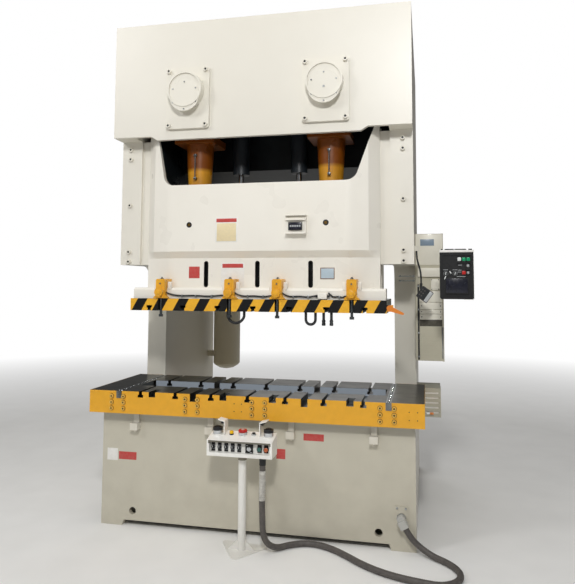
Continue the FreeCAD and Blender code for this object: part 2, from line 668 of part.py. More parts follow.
def make_pinion_shaft():
    """The pinion and its shaft, cut from one forging; it drives both crank gears."""
    front = s.gear_front.value - s.pinion_extra.value
    face = s.gear_face.value + 2 * s.pinion_extra.value
    start, end = s.pinion_shaft_front.value, s.pinion_shaft_back.value
    teeth = int(s.pinion_teeth.value)
    shaft = drum(s.pinion_shaft_radius.value, start, end - start)
    made = solid("pinion_shaft", prism(gear_outline(teeth), front, face).fuse(shaft))
    made.Placement = FreeCAD.Placement(V(0, 0, crank_height.value), FreeCAD.Rotation())


def belt_starts():
    """Where each belt starts along the shaft, as sizes."""
    middle = s.flywheel_front + s.flywheel_width / 2
    count = int(s.belt_count.value)
    return [middle + s.belt_pitch * (number - (count - 1) / 2) - s.belt_width / 2
            for number in range(count)]


def grooved_rim(radius, front, back):
    """Points along a rim, from front to back, with a groove for each belt."""
    bottom = radius - s.belt_thickness + s.belt_stand - s.belt_gap
    points = [(radius, front)]
    for start in belt_starts():
        low, high = start - s.belt_gap, start + s.belt_width + s.belt_gap
        points += [(radius, low), (bottom, low), (bottom, high), (radius, high)]
    return points + [(radius, back)]


def make_flywheel():
    wheel = body("flywheel")
    front, back = s.flywheel_front, s.flywheel_front + s.flywheel_width
    web = (front + back) / 2 - s.flywheel_web / 2
    inner = s.flywheel_radius - s.flywheel_rim
    bore = s.pinion_shaft_radius + s.running_gap
    turn(wheel, [(bore, front), (s.flywheel_hub, front), (s.flywheel_hub, web), (inner, web),
                 (inner, front)] + grooved_rim(s.flywheel_radius, front, back)
         + [(inner, back), (inner, web + s.flywheel_web), (s.flywheel_hub, web + s.flywheel_web),
            (s.flywheel_hub, back), (bore, back)], "XY")
    place(wheel, 0, 0, crank_height)


def make_motor():
    """The main motor on the crown: finned body, bell, feet and terminal box."""
    motor = body("drive_motor")
    front, back = s.motor_front, s.motor_front + s.motor_length
    radius, bevel = s.motor_radius, s.motor_fin_depth
    shaft = s.motor_shaft + s.running_gap
    bore = back - s.motor_length / 4
    turn(motor, [(0, front), (radius - bevel, front), (radius, front + bevel),
                 (radius, back - bevel), (radius - bevel, back), (shaft, back), (shaft, bore),
                 (0, bore)], "XY")
    place(motor, 0, 0, motor_axis)
    inset = s.motor_length / 6
    foot = s.motor_foot_width / 2
    under = -s.motor_height
    extrude(motor, "XZ", front + inset, s.motor_length - inset * 2,
            [polygon([(-foot, under - s.motor_base), (foot, under - s.motor_base),
                      (foot, under), (radius * 0.7, under / 2), (-radius * 0.7, under / 2),
                      (-foot, under)])])
    extrude(motor, "YZ", radius * 0.8, radius * 0.55,
            [rectangle(front + inset * 2, -inset, front + inset * 4, inset)])
    cut_fins(motor, front + inset, back - inset)


def cut_fins(motor, front, back):
    """Cooling grooves along the upper half of the motor body."""
    count = int(s.motor_fins.value)
    inner, outer = s.motor_radius - s.motor_fin_depth, s.motor_radius + s.motor_fin_depth
    grooves = []
    for number in range(count):
        angle = math.pi * (number + 0.5) / count
        if abs(math.cos(angle)) > 0.9:
            continue
        along = (math.cos(angle), math.sin(angle))
        side = (-along[1], along[0])
        half = s.motor_fin_width / 2
        grooves.append(polygon([(reach * along[0] + half * (side[0] * way),
                                 reach * along[1] + half * (side[1] * way))
                                for reach, way in ((inner, -1), (outer, -1), (outer, 1),
                                                   (inner, 1))]))
    cut(motor, "XZ", front, back - front, grooves)


def make_motor_pulley():
    pulley = body("motor_pulley")
    front, back = s.flywheel_front, s.flywheel_front + s.flywheel_width
    start = s.motor_front + s.motor_length * 3 / 4 + s.belt_gap
    turn(pulley, [(0, start), (s.motor_shaft, start), (s.motor_shaft, front)]
         + grooved_rim(s.pulley_radius, front, back) + [(0, back)], "XY")
    place(pulley, 0, 0, motor_axis)


def loop_outline(low_radius, high_radius):
    """The outline round the flywheel and the motor pulley: two arcs and two tangents."""
    low, high = crank_height.value, motor_axis.value
    lean = math.asin((low_radius - high_radius) / (high - low))
    side = V(math.cos(lean), 0, math.sin(lean))
    left = V(-side.x, 0, side.z)
    centre_low, centre_high = V(0, 0, low), V(0, 0, high)
    points = [centre_low + side * low_radius, centre_high + side * high_radius,
              centre_high + left * high_radius, centre_low + left * low_radius]
    top, bottom = V(0, 0, high + high_radius), V(0, 0, low - low_radius)
    edges = [Part.LineSegment(points[0], points[1]).toShape(),
             Part.Arc(points[1], top, points[2]).toShape(),
             Part.LineSegment(points[2], points[3]).toShape(),
             Part.Arc(points[3], bottom, points[0]).toShape()]
    return Part.Wire(edges)


def loop_solid(low_radius, high_radius, front, length):
    made = Part.Face(loop_outline(low_radius, high_radius)).extrude(V(0, length, 0))
    made.translate(V(0, front, 0))
    return made


def make_belts():
    """V-belts from the motor pulley to the flywheel."""
    stand, thick = s.belt_stand.value, s.belt_thickness.value
    low, high = s.flywheel_radius.value + stand, s.pulley_radius.value + stand
    belts = []
    for start in belt_starts():
        loop = loop_solid(low, high, start.value, s.belt_width.value)
        hole = loop_solid(low - thick, high - thick, start.value, s.belt_width.value)
        belts.append(loop.cut(hole))
    solid("drive_belts", Part.makeCompound(belts))


def make_guard():
    """The sheet-steel guard over flywheel, belts and pulley, closed on both sides."""
    room, wall = s.guard_clearance.value, s.guard_wall.value
    low, high = s.flywheel_radius.value + room, s.pulley_radius.value + room
    front, depth = s.frame_back.value, s.guard_depth.value
    guard = loop_solid(low + wall, high + wall, front, depth)
    guard = guard.cut(loop_solid(low, high, front + wall, depth - 2 * wall))
    guard = guard.cut(drum(s.quill_radius.value, front, wall, 0, crank_height.value))
    hole = s.motor_shaft.value * 1.5
    guard = guard.cut(drum(hole, front, wall, 0, motor_axis.value))
    solid("flywheel_guard", guard)


# ---------------------------------------------------------------- connecting rods, balancers
def make_con_rod(label, x):
    """A connecting rod: big end round the crank pin, flange, sleeve and adjusting screw."""
    rod = body(label)
    half, flange = s.rod_thickness / 2, rod_flange_bottom
    top = flange + s.rod_flange_height
    neck = s.rod_neck_width / 2
    turn(rod, [(0, s.rod_screw_end), (s.rod_screw, s.rod_screw_end),
               (s.rod_screw, s.rod_sleeve_end), (s.rod_sleeve_bottom, s.rod_sleeve_end),
               (s.rod_sleeve_bottom, s.cut_floor), (s.rod_sleeve_top, flange), (0, flange)])
    side = s.rod_flange_half
    extrude(rod, "XY", flange, s.rod_flange_height, [rectangle(-side, -side, side, side)])
    soften(rod, corners_of(-side, -side, side, side), "Z", s.rod_flange_chamfer, "Chamfer")
    extrude(rod, "XZ", -half, s.rod_thickness, [rectangle(-neck, top, neck, pin_height)])
    extrude(rod, "XZ", -half, s.rod_thickness, [circle(0, pin_height, s.rod_big_end)])
    cut(rod, "XZ", -half, s.rod_thickness,
        [circle(0, pin_height, s.crank_pin + s.running_gap)])
    front = -(s.rod_sleeve_top + s.rod_scale_depth)
    wide = s.rod_scale_width / 2
    extrude(rod, "XZ", front, s.rod_scale_depth * 4,
            [rectangle(-wide, rod_scale_bottom, wide, rod_scale_bottom + s.rod_scale_length)])
    place(rod, x)


def make_nut(label, x):
    """The adjusting nut in the slide, turned by the die-height drive."""
    nut = body(label)
    low = s.nut_seat + s.nut_gap
    extrude(nut, "XY", low, s.nut_height,
            [circle(0, 0, s.nut_radius), circle(0, 0, s.rod_screw + s.screw_clearance)])
    place(nut, x)


def make_balancers():
    cylinders = body("balancer_cylinders")
    top = crown_top - s.case_plate
    low, bore = balancer_bottom, s.balancer_radius - s.balancer_wall
    for x in sides(s.balancer_x):
        extrude(cylinders, "XY", low, top - low, [circle(x, s.balancer_y, s.balancer_radius)])
        extrude(cylinders, "XY", top - s.balancer_end, s.balancer_end,
                [circle(x, s.balancer_y, s.balancer_flange)])
        cut(cylinders, "XY", low + s.balancer_end, top - low - s.balancer_end * 2,
            [circle(x, s.balancer_y, bore)])
        cut(cylinders, "XY", low, s.balancer_end,
            [circle(x, s.balancer_y, s.balancer_rod + s.running_gap)])
    rods = body("balancer_rods")
    for x in sides(s.balancer_x):
        extrude(rods, "XY", s.cut_floor, balancer_rod_top - s.cut_floor,
                [circle(x, s.balancer_y, s.balancer_rod)])
        extrude(rods, "XY", balancer_rod_top, s.balancer_piston,
                [circle(x, s.balancer_y, bore - s.running_gap)])


# ---------------------------------------------------------------- slide
def slide_section(face):
    """The slide seen from above: flat front that curves back to the guided sides."""
    side, back = s.slide_half, s.slide_back
    half = [(side, back), (side, -s.slide_side_front),
            (s.slide_shoulder_half, s.slide_shoulder - face), (s.slide_flat_half, -face)]
    return half + [(-across, back) for across, back in reversed(half)]


def make_slide():
    slide = body("slide_body")
    low = s.bulge_bottom
    extrude(slide, "XY", slide_bottom, low - slide_bottom, [polygon(slide_section(s.slide_face))])
    face = s.slide_face + s.slide_bulge
    high = low + s.bulge_slope
    taper(slide, low, slide_section(s.slide_face), high, slide_section(face))
    extrude(slide, "XY", high, s.slide_top - high, [polygon(slide_section(face))])
    for front in (s.slide_face, face):
        soften(slide, [(x, -front) for x in sides(s.slide_flat_half)], "Z", s.slide_curve)
    make_slide_cut(slide)
    flange = s.flange_half
    extrude(slide, "XY", slide_bottom, s.flange_height,
            [rectangle(-flange, -s.flange_front, flange, -s.slide_side_front)])
    soften(slide, [(-s.flange_front, slide_bottom + s.flange_height)], "X", s.flange_bevel,
           "Chamfer")
    make_slide_ways(slide)
    make_slide_holes(slide)


def make_slide_cut(slide):
    """The wide cut in the slide's top, where the connecting rods come down."""
    floor, low = s.cut_floor, s.cut_floor_half
    front = -s.slide_face - s.slide_bulge
    deep = s.slide_back - front
    cut(slide, "XZ", front, deep,
        [polygon([(-low, floor), (low, floor), (s.cut_top_right, s.slide_top),
                  (-s.cut_top_left, s.slide_top)])])
    soften(slide, [(-low, floor), (low, floor)], "Y", s.cut_round)


def make_slide_ways(slide):
    """Grooves in both sides, in which the gib tongues run."""
    depth = s.gib_groove_depth
    for x in (-s.slide_half, s.slide_half - depth):
        cut(slide, "XY", slide_bottom, s.slide_top - slide_bottom,
            [rectangle(x, -s.gib_groove_front, x + depth, s.gib_groove_back)])


def make_slide_holes(slide):
    """Knock-out slots, oil plugs and the two screw wells."""
    half, low = s.slot_width / 2, s.slot_bottom + s.slot_width / 2
    high = s.slot_bottom + s.slot_height - s.slot_width / 2
    front = -s.slide_face
    for middle in (-s.slot_spacing, as_size(0), s.slot_spacing):
        cut(slide, "XZ", front, s.slot_through,
            [rectangle(middle - half, low, middle + half, high)])
        for z in (low, high):
            cut(slide, "XZ", front, s.slot_through, [circle(middle, z, half)])
    face = -s.slide_face - s.slide_bulge
    cut(slide, "XZ", face, s.plug_depth,
        [circle(x, s.plug_height, s.plug_radius) for x in sides(s.plug_spread / 2)])
    well = s.nut_radius + s.running_gap
    cut(slide, "XY", s.nut_seat, s.cut_floor - s.nut_seat,
        [circle(x, 0, well) for x in sides(crank_x)])
    tail = s.rod_screw + s.sleeve_clearance
    low = s.rod_screw_end - s.sleeve_clearance
    cut(slide, "XY", low, s.nut_seat - low, [circle(x, 0, tail) for x in sides(crank_x)])


def tslot(middle, mouth, way, neck, head, neck_depth, depth):
    """A T-slot across a face: mouth at the face, way up (+1) or down (-1) into the plate."""
    shoulder, floor = mouth + neck_depth * way, mouth + depth * way
    return polygon([(middle - neck / 2, mouth), (middle + neck / 2, mouth),
                    (middle + neck / 2, shoulder), (middle + head / 2, shoulder),
                    (middle + head / 2, floor), (middle - head / 2, floor),
                    (middle - head / 2, shoulder), (middle - neck / 2, shoulder)])


def tslot_places():
    count = int(s.tslot_count.value)
    return [s.tslot_pitch * (number - (count - 1) / 2) for number in range(count)]


def make_die_plate():
    """The hazard-striped plate under the slide, with its T-slots and clamp slots."""
    plate = body("die_plate")
    half, front = s.die_plate_half, s.die_plate_front
    extrude(plate, "XY", die_plate_bottom, s.die_plate_height,
            [rectangle(-half, -front, half, front)])
    cut(plate, "XZ", -front, front * 2,
        [tslot(x, die_plate_bottom, 1, s.slide_tslot_neck, s.slide_tslot_head,
               s.slide_tslot_neck_depth, s.slide_tslot_depth) for x in tslot_places()])
    wide = s.clamp_slot_width / 2
    cut(plate, "XY", die_plate_bottom, s.die_plate_height,
        [rectangle(x - wide, -front, x + wide, -front + s.clamp_slot_depth)
         for x in clamp_places()])
    block = s.lever_block
    middle = die_plate_bottom + s.lever_height
    extrude(plate, "XZ", -front, s.lever_block_depth,
            [rectangle(half, middle - block / 2, half + block, middle + block / 2)])
    cut(plate, "XZ", -front, s.lever_block_depth,
        [circle(half + s.lever_x, middle, s.lever_pin + s.running_gap)])


def clamp_places():
    return [-s.clamp_outer, -s.clamp_inner, s.clamp_inner, s.clamp_outer]


def make_clamps():
    """Four hydraulic die clamps on the slide's flange, and their clamping rods."""
    clamps = body("die_clamps")
    half, base = s.clamp_width / 2, s.clamp_base_half
    front, seat, wall = -s.clamp_front, -s.flange_front, -s.slide_face
    shelf = slide_bottom + s.flange_height
    for x in clamp_places():
        bevel = half / 4
        foot = polygon([(x - base, s.clamp_bottom), (x + base, s.clamp_bottom),
                        (x + half, s.clamp_shoulder), (x + half, s.clamp_top - bevel),
                        (x + half - bevel, s.clamp_top), (x - half + bevel, s.clamp_top),
                        (x - half, s.clamp_top - bevel), (x - half, s.clamp_shoulder)])
        extrude(clamps, "XZ", front, seat - front, [foot])
        extrude(clamps, "XZ", seat, wall - seat,
                [rectangle(x - half, shelf, x + half, s.clamp_top)])
        extrude(clamps, "XZ", front - s.clamp_knob_length, s.clamp_knob_length,
                [circle(x, s.clamp_knob_height, s.clamp_knob)])
    well = s.clamp_rod_top + s.clamp_rod_travel + s.stem_gap
    cut(clamps, "XY", s.clamp_bottom, well - s.clamp_bottom,
        [circle(x, -s.clamp_rod_front, s.clamp_rod + s.running_gap) for x in clamp_places()])
    rods = body("clamp_rods")
    low = s.clamp_rod_bottom
    extrude(rods, "XY", low, s.clamp_foot_height,
            [circle(x, -s.clamp_rod_front, s.clamp_foot) for x in clamp_places()])
    extrude(rods, "XY", low + s.clamp_foot_height, s.clamp_rod_top - low - s.clamp_foot_height,
            [circle(x, -s.clamp_rod_front, s.clamp_rod) for x in clamp_places()])


def make_side_lever():
    """The locking lever at the right end of the striped plate."""
    lever = body("side_lever")
    hub, tip = s.lever_hub, s.lever_tip
    front = -s.die_plate_front - s.lever_thickness - s.stem_gap
    extrude(lever, "XZ", front, s.lever_thickness,
            [polygon([(0, hub * 0.9), (0, -hub * 0.9), (s.lever_reach, -s.lever_drop - tip),
                      (s.lever_reach + tip, -s.lever_drop), (s.lever_reach, -s.lever_drop + tip)])])
    extrude(lever, "XZ", front, s.lever_thickness, [circle(0, 0, hub)])
    extrude(lever, "XZ", front, s.lever_thickness + s.stem_gap + s.lever_block_depth,
            [circle(0, 0, s.lever_pin)])
    place(lever, s.die_plate_half + s.lever_x, 0, die_plate_bottom + s.lever_height)


def make_counter():
    """The die-height counter: hooded case, sill and window."""
    case = body("stroke_counter")
    face = -s.slide_face - s.slide_bulge
    depth, width = s.counter_depth, s.counter_width
    low, high = s.counter_bottom, s.counter_bottom + s.counter_height
    side = [(face, low), (face - depth, low), (face - depth, low + s.counter_sill),
            (face - depth * 0.6, low + s.counter_sill),
            (face - depth * 0.6, high - s.counter_hood), (face - depth, high - s.counter_hood),
            (face - depth * 0.3, high), (face, high)]
    extrude(case, "YZ", s.counter_x - width / 2, width, [polygon(side)])
    window, tall = s.counter_window_width / 2, s.counter_window_height
    bottom = low + s.counter_sill * 2
    cut(case, "XZ", face - depth * 0.6, s.counter_window_depth,
        [rectangle(s.counter_x - window, bottom, s.counter_x + window, bottom + tall)])


# ---------------------------------------------------------------- bolster
def make_bolster():
    bolster = body("bolster_plate")
    half, front, back = s.bolster_width / 2, -s.bolster_depth / 2, s.bolster_depth / 2
    extrude(bolster, "XY", s.bed_height, s.bolster_thickness,
            [rectangle(-half, front, half, back)])
    cut(bolster, "XZ", front, s.bolster_depth,
        [tslot(x, bolster_top, -1, s.tslot_neck, s.tslot_head, s.tslot_neck_depth,
               s.tslot_depth) for x in tslot_places()])
    wide, deep = s.long_slot_width / 2, s.long_slot_depth
    cut(bolster, "XZ", front, s.bolster_depth,
        [rectangle(x - wide, bolster_top - deep, x + wide, bolster_top)
         for x in sides(s.long_slot_place)])
    groove = s.rail_width / 2 + s.rail_gap
    cut(bolster, "XZ", front, s.bolster_depth,
        [rectangle(x - groove, bolster_top - s.rail_depth, x + groove, bolster_top)
         for x in sides(rail_place)])
    wide, deep = s.pocket_width / 2, s.pocket_depth
    cut(bolster, "XY", bolster_top - deep, deep,
        [rectangle(x - wide, front, x + wide, front + s.pocket_length)
         for x in pocket_places()])
    cut(bolster, "XY", bolster_top - s.channel_depth, s.channel_depth,
        [rectangle(-s.channel_half, -s.channel_front, s.channel_half, s.channel_back)])


def pocket_places():
    return [-s.pocket_outer, -s.pocket_inner, s.pocket_inner, s.pocket_outer]


def make_bolster_screws():
    """Four groups of six socket screws in the bolster's front face."""
    screws = body("bolster_screws")
    front = -s.bolster_depth / 2 - s.bolt_head_height
    spots = [(middle + dx, bolster_top - row)
             for middle in (s.group_1, s.group_2, s.group_3, s.group_4)
             for dx in sides(s.bolt_group_width / 2)
             for row in (s.bolt_row_1, s.bolt_row_2, s.bolt_row_3)]
    extrude(screws, "XZ", front, s.bolt_head_height,
            [circle(x, z, s.bolt_head) for x, z in spots])
    cut(screws, "XZ", front, s.bolt_socket_depth,
        [hexagon(x, z, s.bolt_socket) for x, z in spots])


def make_bolster_brackets():
    """Bent retainers of the two lifter rails, and the tabs in the four front pockets."""
    brackets = body("bolster_brackets")
    face, sheet_metal = -s.bolster_depth / 2, s.bracket_sheet
    half = s.bracket_width / 2
    for x in sides(rail_place):
        extrude(brackets, "XZ", face - sheet_metal, sheet_metal,
                [rectangle(x - half, bolster_top - s.bracket_drop, x + half, bolster_top)])
        extrude(brackets, "XZ", face - sheet_metal - s.bracket_bolt_head, s.bracket_bolt_head,
                [circle(x, bolster_top - s.bracket_drop * 0.7, s.bracket_bolt)])
    floor, wide = bolster_top - s.pocket_depth, s.tab_width / 2
    back = face + s.pocket_length
    for x in pocket_places():
        extrude(brackets, "YZ", x - wide, wide * 2,
                [polygon([(back, floor), (back, bolster_top),
                          (back - sheet_metal, bolster_top),
                          (back - sheet_metal, floor + sheet_metal),
                          (back - s.tab_length, floor + sheet_metal),
                          (back - s.tab_length, floor)])])


def make_lifter_rail(label, x):
    """A die-lifter rail lying in its bolster groove, with the track for its balls."""
    rail = body(label)
    half, front = s.rail_width / 2, -s.bolster_depth / 2
    low = bolster_top - s.rail_depth + s.rail_gap
    extrude(rail, "XZ", front, s.bolster_depth,
            [rectangle(-half, low, half, bolster_top)])
    track = s.rail_groove / 2
    cut(rail, "XZ", front, s.bolster_depth,
        [rectangle(-track, bolster_top - s.rail_groove_depth, track, bolster_top)])
    place(rail, x)


def make_hold_downs():
    """Four clamps under the bolster's front edge: neck, block and knob."""
    clamps = body("hold_down_clamps")
    face = -s.bed_front
    half, neck = s.hold_down_width / 2, s.hold_down_neck / 2
    low, high = s.hold_down_bottom, s.hold_down_bottom + s.hold_down_height
    middle = face - s.hold_down_depth / 2
    for x in (-s.hold_down_outer, -s.hold_down_inner, s.hold_down_inner, s.hold_down_outer):
        extrude(clamps, "XZ", face - s.hold_down_depth, s.hold_down_depth,
                [rectangle(x - half, low, x + half, high)])
        extrude(clamps, "XZ", face - s.hold_down_neck_depth, s.hold_down_neck_depth,
                [rectangle(x - neck, high, x + neck, s.bed_height)])
        extrude(clamps, "XY", low - s.hold_down_knob_height, s.hold_down_knob_height,
                [circle(x, middle, s.hold_down_knob)])


# ---------------------------------------------------------------- console
def top_at(back):
    """Height of the console's sloping top at a distance behind its front edge."""
    slope = (s.console_back_top - s.console_front_top) / (s.console_front - s.console_back)
    return s.console_front_top + slope * back


def make_stand():
    """The console's stand: rounded triangular floor plate, gussets and pole."""
    stand = body("console_stand")
    spots = [(s.stand_left_x, -s.stand_left_y), (s.stand_tip_x, -s.stand_tip_y),
             (s.stand_right_x, -s.stand_right_y)]
    extrude(stand, "XY", 0, s.stand_plate, [polygon(spots)])
    soften(stand, spots, "Z", s.stand_round)
    extrude(stand, "XY", s.stand_plate, s.console_bottom - s.stand_plate,
            [circle(s.pole_x, -s.pole_y, s.pole_radius)])
    reach = s.pole_radius + s.gusset
    ramp = [(s.pole_x - reach, s.stand_plate), (s.pole_x + reach, s.stand_plate),
            (s.pole_x + s.pole_radius, s.stand_plate + s.gusset),
            (s.pole_x - s.pole_radius, s.stand_plate + s.gusset)]
    extrude(stand, "XZ", -s.pole_y - s.gusset_thickness / 2, s.gusset_thickness,
            [polygon(ramp)])


def make_console():
    """The console box with its recessed front row, sloping top and button hoods."""
    box = body("console_box")
    front, back = -s.console_front, -s.console_back
    low, left, right = s.console_bottom, s.console_left, s.console_right
    side = [(front, low), (back, low), (back, s.console_back_top), (front, s.console_front_top)]
    extrude(box, "YZ", left, right - left, [polygon(side)])
    recess_top = s.console_front_top - s.console_sheet * 2
    cut(box, "XZ", front, s.console_recess_depth,
        [rectangle(left + s.console_recess_side, low + s.console_recess_bottom,
                   right - s.console_recess_side, recess_top)])
    floor = front + s.console_recess_depth
    half = s.key_side / 2
    extrude(box, "XZ", floor - s.key_depth, s.key_depth,
            [rectangle(s.key_x - half, s.selector_z - half, s.key_x + half,
                       s.selector_z + half)])
    extrude(box, "XZ", floor - s.push_length, s.push_length,
            [circle(x, s.selector_z, s.push_radius) for x in (s.lamp_x_1, s.lamp_x_2)])
    add_hoods(box, front)
    add_button_seats(box, front)
    selector_bores = [circle(selector_place(number), s.selector_z,
                             s.selector_radius / 2 + s.running_gap) for number in range(5)]
    cut(box, "XZ", floor, s.selector_grip, selector_bores)


def add_hoods(box, front):
    """Two folded hoods beside the palm buttons, open towards them."""
    start = front + s.hood_front
    foot = top_at(s.hood_front) - s.console_sheet
    for x, way in ((s.hood_left, -1), (s.hood_right, 1)):
        high = foot + s.hood_height
        inner, outer = x, x + s.hood_sheet * way
        roof = outer + s.hood_roof * way
        extrude(box, "XZ", start, s.hood_length,
                [polygon([(inner, foot), (outer, foot), (outer, high),
                          (roof, high + s.hood_sheet * 2), (roof, high + s.hood_sheet * 3),
                          (inner, high + s.hood_sheet)])])


def seat_height(back, reach):
    """Height of a level seat that clears the sloping top at a distance and a reach."""
    return top_at(as_size(back) + reach)


def add_button_seats(box, front):
    """Level collars on the sloping top: two palm rings, the stop, the reset and the lamp."""
    middle = front + s.palm_back
    base = top_at(s.palm_back) - s.console_sheet * 2
    deck = seat_height(s.palm_back, s.palm_ring)
    for x in (s.palm_left, s.palm_right):
        extrude(box, "XY", base, deck - base, [circle(x, middle, s.palm_ring)])
        extrude(box, "XY", deck, s.palm_ring_height,
                [circle(x, middle, s.palm_ring),
                 circle(x, middle, s.palm_ring - s.palm_ring_wall)])
    extrude(box, "XY", base, seat_height(s.palm_back, s.stop_base) - base + s.stop_base_height,
            [circle(s.stop_x, middle, s.stop_base)])
    extrude(box, "XY", base, seat_height(s.palm_back, s.reset_base) - base
            + s.reset_base_height, [circle(s.reset_x, middle, s.reset_base)])
    extrude(box, "XY", base, seat_height(s.palm_back, s.beacon_radius) - base
            + s.beacon_height, [circle(s.beacon_x, middle, s.beacon_radius)])
    wells = ((s.palm_left, s.palm_stem), (s.palm_right, s.palm_stem), (s.stop_x, s.stop_stem),
             (s.reset_x, s.reset_stem))
    bottom = base - s.palm_stem
    cut(box, "XY", bottom, s.console_back_top - bottom + s.palm_ring,
        [circle(x, middle, radius + s.running_gap) for x, radius in wells])


def make_mushroom(label, x, stem, head, head_height, deck, travel):
    """A push button: stem in the console and a domed head above its deck."""
    button = body(label)
    foot = top_at(s.palm_back) - s.console_sheet * 2
    under = deck + travel + s.stem_gap
    crown = under + head_height
    bevel = head_height * 0.4
    turn(button, [(0, foot), (stem, foot), (stem, under), (head, under),
                  (head, crown - bevel), (head - bevel, crown), (0, crown)])
    place(button, x, -s.console_front + s.palm_back)


def make_buttons():
    palm_deck = seat_height(s.palm_back, s.palm_ring)
    for label, x in (("palm_button_left", s.palm_left), ("palm_button_right", s.palm_right)):
        make_mushroom(label, x, s.palm_stem, s.palm_head, s.palm_head_height, palm_deck,
                      s.palm_travel)
    stop_deck = seat_height(s.palm_back, s.stop_base) + s.stop_base_height
    make_mushroom("stop_button", s.stop_x, s.stop_stem, s.stop_head, s.stop_head_height,
                  stop_deck, s.stop_travel)
    reset_deck = seat_height(s.palm_back, s.reset_base) + s.reset_base_height
    make_mushroom("reset_button", s.reset_x, s.reset_stem, s.reset_head, s.reset_rise,
                  reset_deck, s.reset_travel)


def selector_place(number):
    return s.selector_x + s.selector_pitch * number


def make_selector(number):
    """A rotary selector: bezel, grip and the spindle in the recessed panel."""
    knob = body(f"selector_{number + 1}")
    floor = -s.console_front + s.console_recess_depth
    face = floor - s.selector_bezel
    extrude(knob, "XZ", face, s.selector_bezel - s.stem_gap, [circle(0, 0, s.selector_radius)])
    half = s.selector_grip_width / 2
    reach = s.selector_radius * 0.94
    extrude(knob, "XZ", face - s.selector_grip, s.selector_grip,
            [rectangle(-half, -reach, half, reach)])
    extrude(knob, "XZ", face, s.selector_bezel + s.selector_grip - s.stem_gap * 2,
            [circle(0, 0, s.selector_radius / 2)])
    place(knob, selector_place(number), 0, s.selector_z)


# ---------------------------------------------------------------- free cables
def tube(route, radius):
    """A cable along straight runs joined by tangent arcs; returns it and its arc radii."""
    points = [V(*point) for point in route]
    edges, radii = [], []
    start = points[0]
    for before, corner, after in zip(points, points[1:], points[2:]):
        to_before, to_after = before - corner, after - corner
        turned = math.pi - to_before.getAngle(to_after)
        shorter = min(to_before.Length, to_after.Length)
        arc = 0.45 * shorter / math.tan(turned / 2)
        leave = 0.45 * shorter
        first = corner + to_before.normalize() * leave
        last = corner + to_after.normalize() * leave
        halfway = (first + last) * 0.5 - corner
        inward = corner + halfway.normalize() * (arc / math.cos(turned / 2) - arc)
        edges.append(Part.LineSegment(start, first).toShape())
        edges.append(Part.Arc(first, inward, last).toShape())
        radii.append(arc)
        start = last
    edges.append(Part.LineSegment(start, points[-1]).toShape())
    path = Part.Wire(edges)
    section = Part.Wire(Part.makeCircle(radius, points[0], points[1] - points[0]))
    made = path.makePipeShell([section], True, False)
    length = sum(edge.Length for edge in edges)
    expected = math.pi * radius ** 2 * length
    print("cable: length %.0f, smallest radius %.0f, volume %.4f of its section times length"
          % (length, min(radii), made.Volume / expected))
    return made


def elbow_end():
    """Mouth of the elbow gland on the bed's entry plate, and the way it points."""
    lean = math.radians(s.elbow_lean.value)
    way = V(math.sin(lean), 0, -math.cos(lean))
    centre = V(s.entry_x.value, entry_front.value, s.entry_z.value)
    return centre + way * s.elbow_length.value, way


def make_main_cable():
    """The armoured cable from the console, over the floor, into the front of the bed."""
    x, y = s.gland_x.value, -s.gland_y.value
    top = s.console_bottom.value - s.gland_length.value
    low = s.cable_radius.value + 1
    end, way = elbow_end()
    before = end + way * 76
    route = [(x, y, top), (x, y, 520), (x - 4, y + 3, 392), (x - 1, y + 6, 266),
             (x + 3, y + 9, 150), (206, -603, low + 49), (262, -545, low), (348, -462, low),
             (452, -410, low), (566, -417, low), (680, -474, low), (790, -560, low),
             (906, -664, low), (1040, -750, low), (1180, -806, low), (1312, -838, low),
             (1440, -860, low), (1540, -800, low), (1582, -695, low), (1552, -588, low),
             (1485, -505, low), (1395, -440, low + 3), (1304, -400, low + 42),
             (before.x, before.y, before.z), (end.x, end.y, end.z)]
    solid("main_cable", tube(route, s.cable_radius.value))


def make_cable_glands():
    """The black gland under the console and the one on the bed's entry plate."""
    glands = body("cable_glands")
    low = s.console_bottom - s.gland_length
    extrude(glands, "XY", low, s.gland_length, [circle(s.gland_x, -s.gland_y, s.gland_radius)])
    extrude(glands, "XZ", entry_front, s.entry_gland_length,
            [circle(s.entry_x, s.entry_z, s.entry_gland)])
    add_elbow(glands)


def add_elbow(glands):
    """The elbow's nozzle: a short cylinder that leans out and down from its centre."""
    reach = s.entry_gland
    lean = math.radians(s.elbow_lean.value)
    across, down = math.cos(lean), math.sin(lean)
    length = s.elbow_length
    spots = [(s.entry_x - reach * across, s.entry_z - reach * down),
             (s.entry_x + reach * across, s.entry_z + reach * down),
             (s.entry_x + reach * across + length * down,
              s.entry_z + reach * down - length * across),
             (s.entry_x - reach * across + length * down,
              s.entry_z - reach * down - length * across)]
    extrude(glands, "XZ", entry_front - reach, reach * 2, [polygon(spots)])


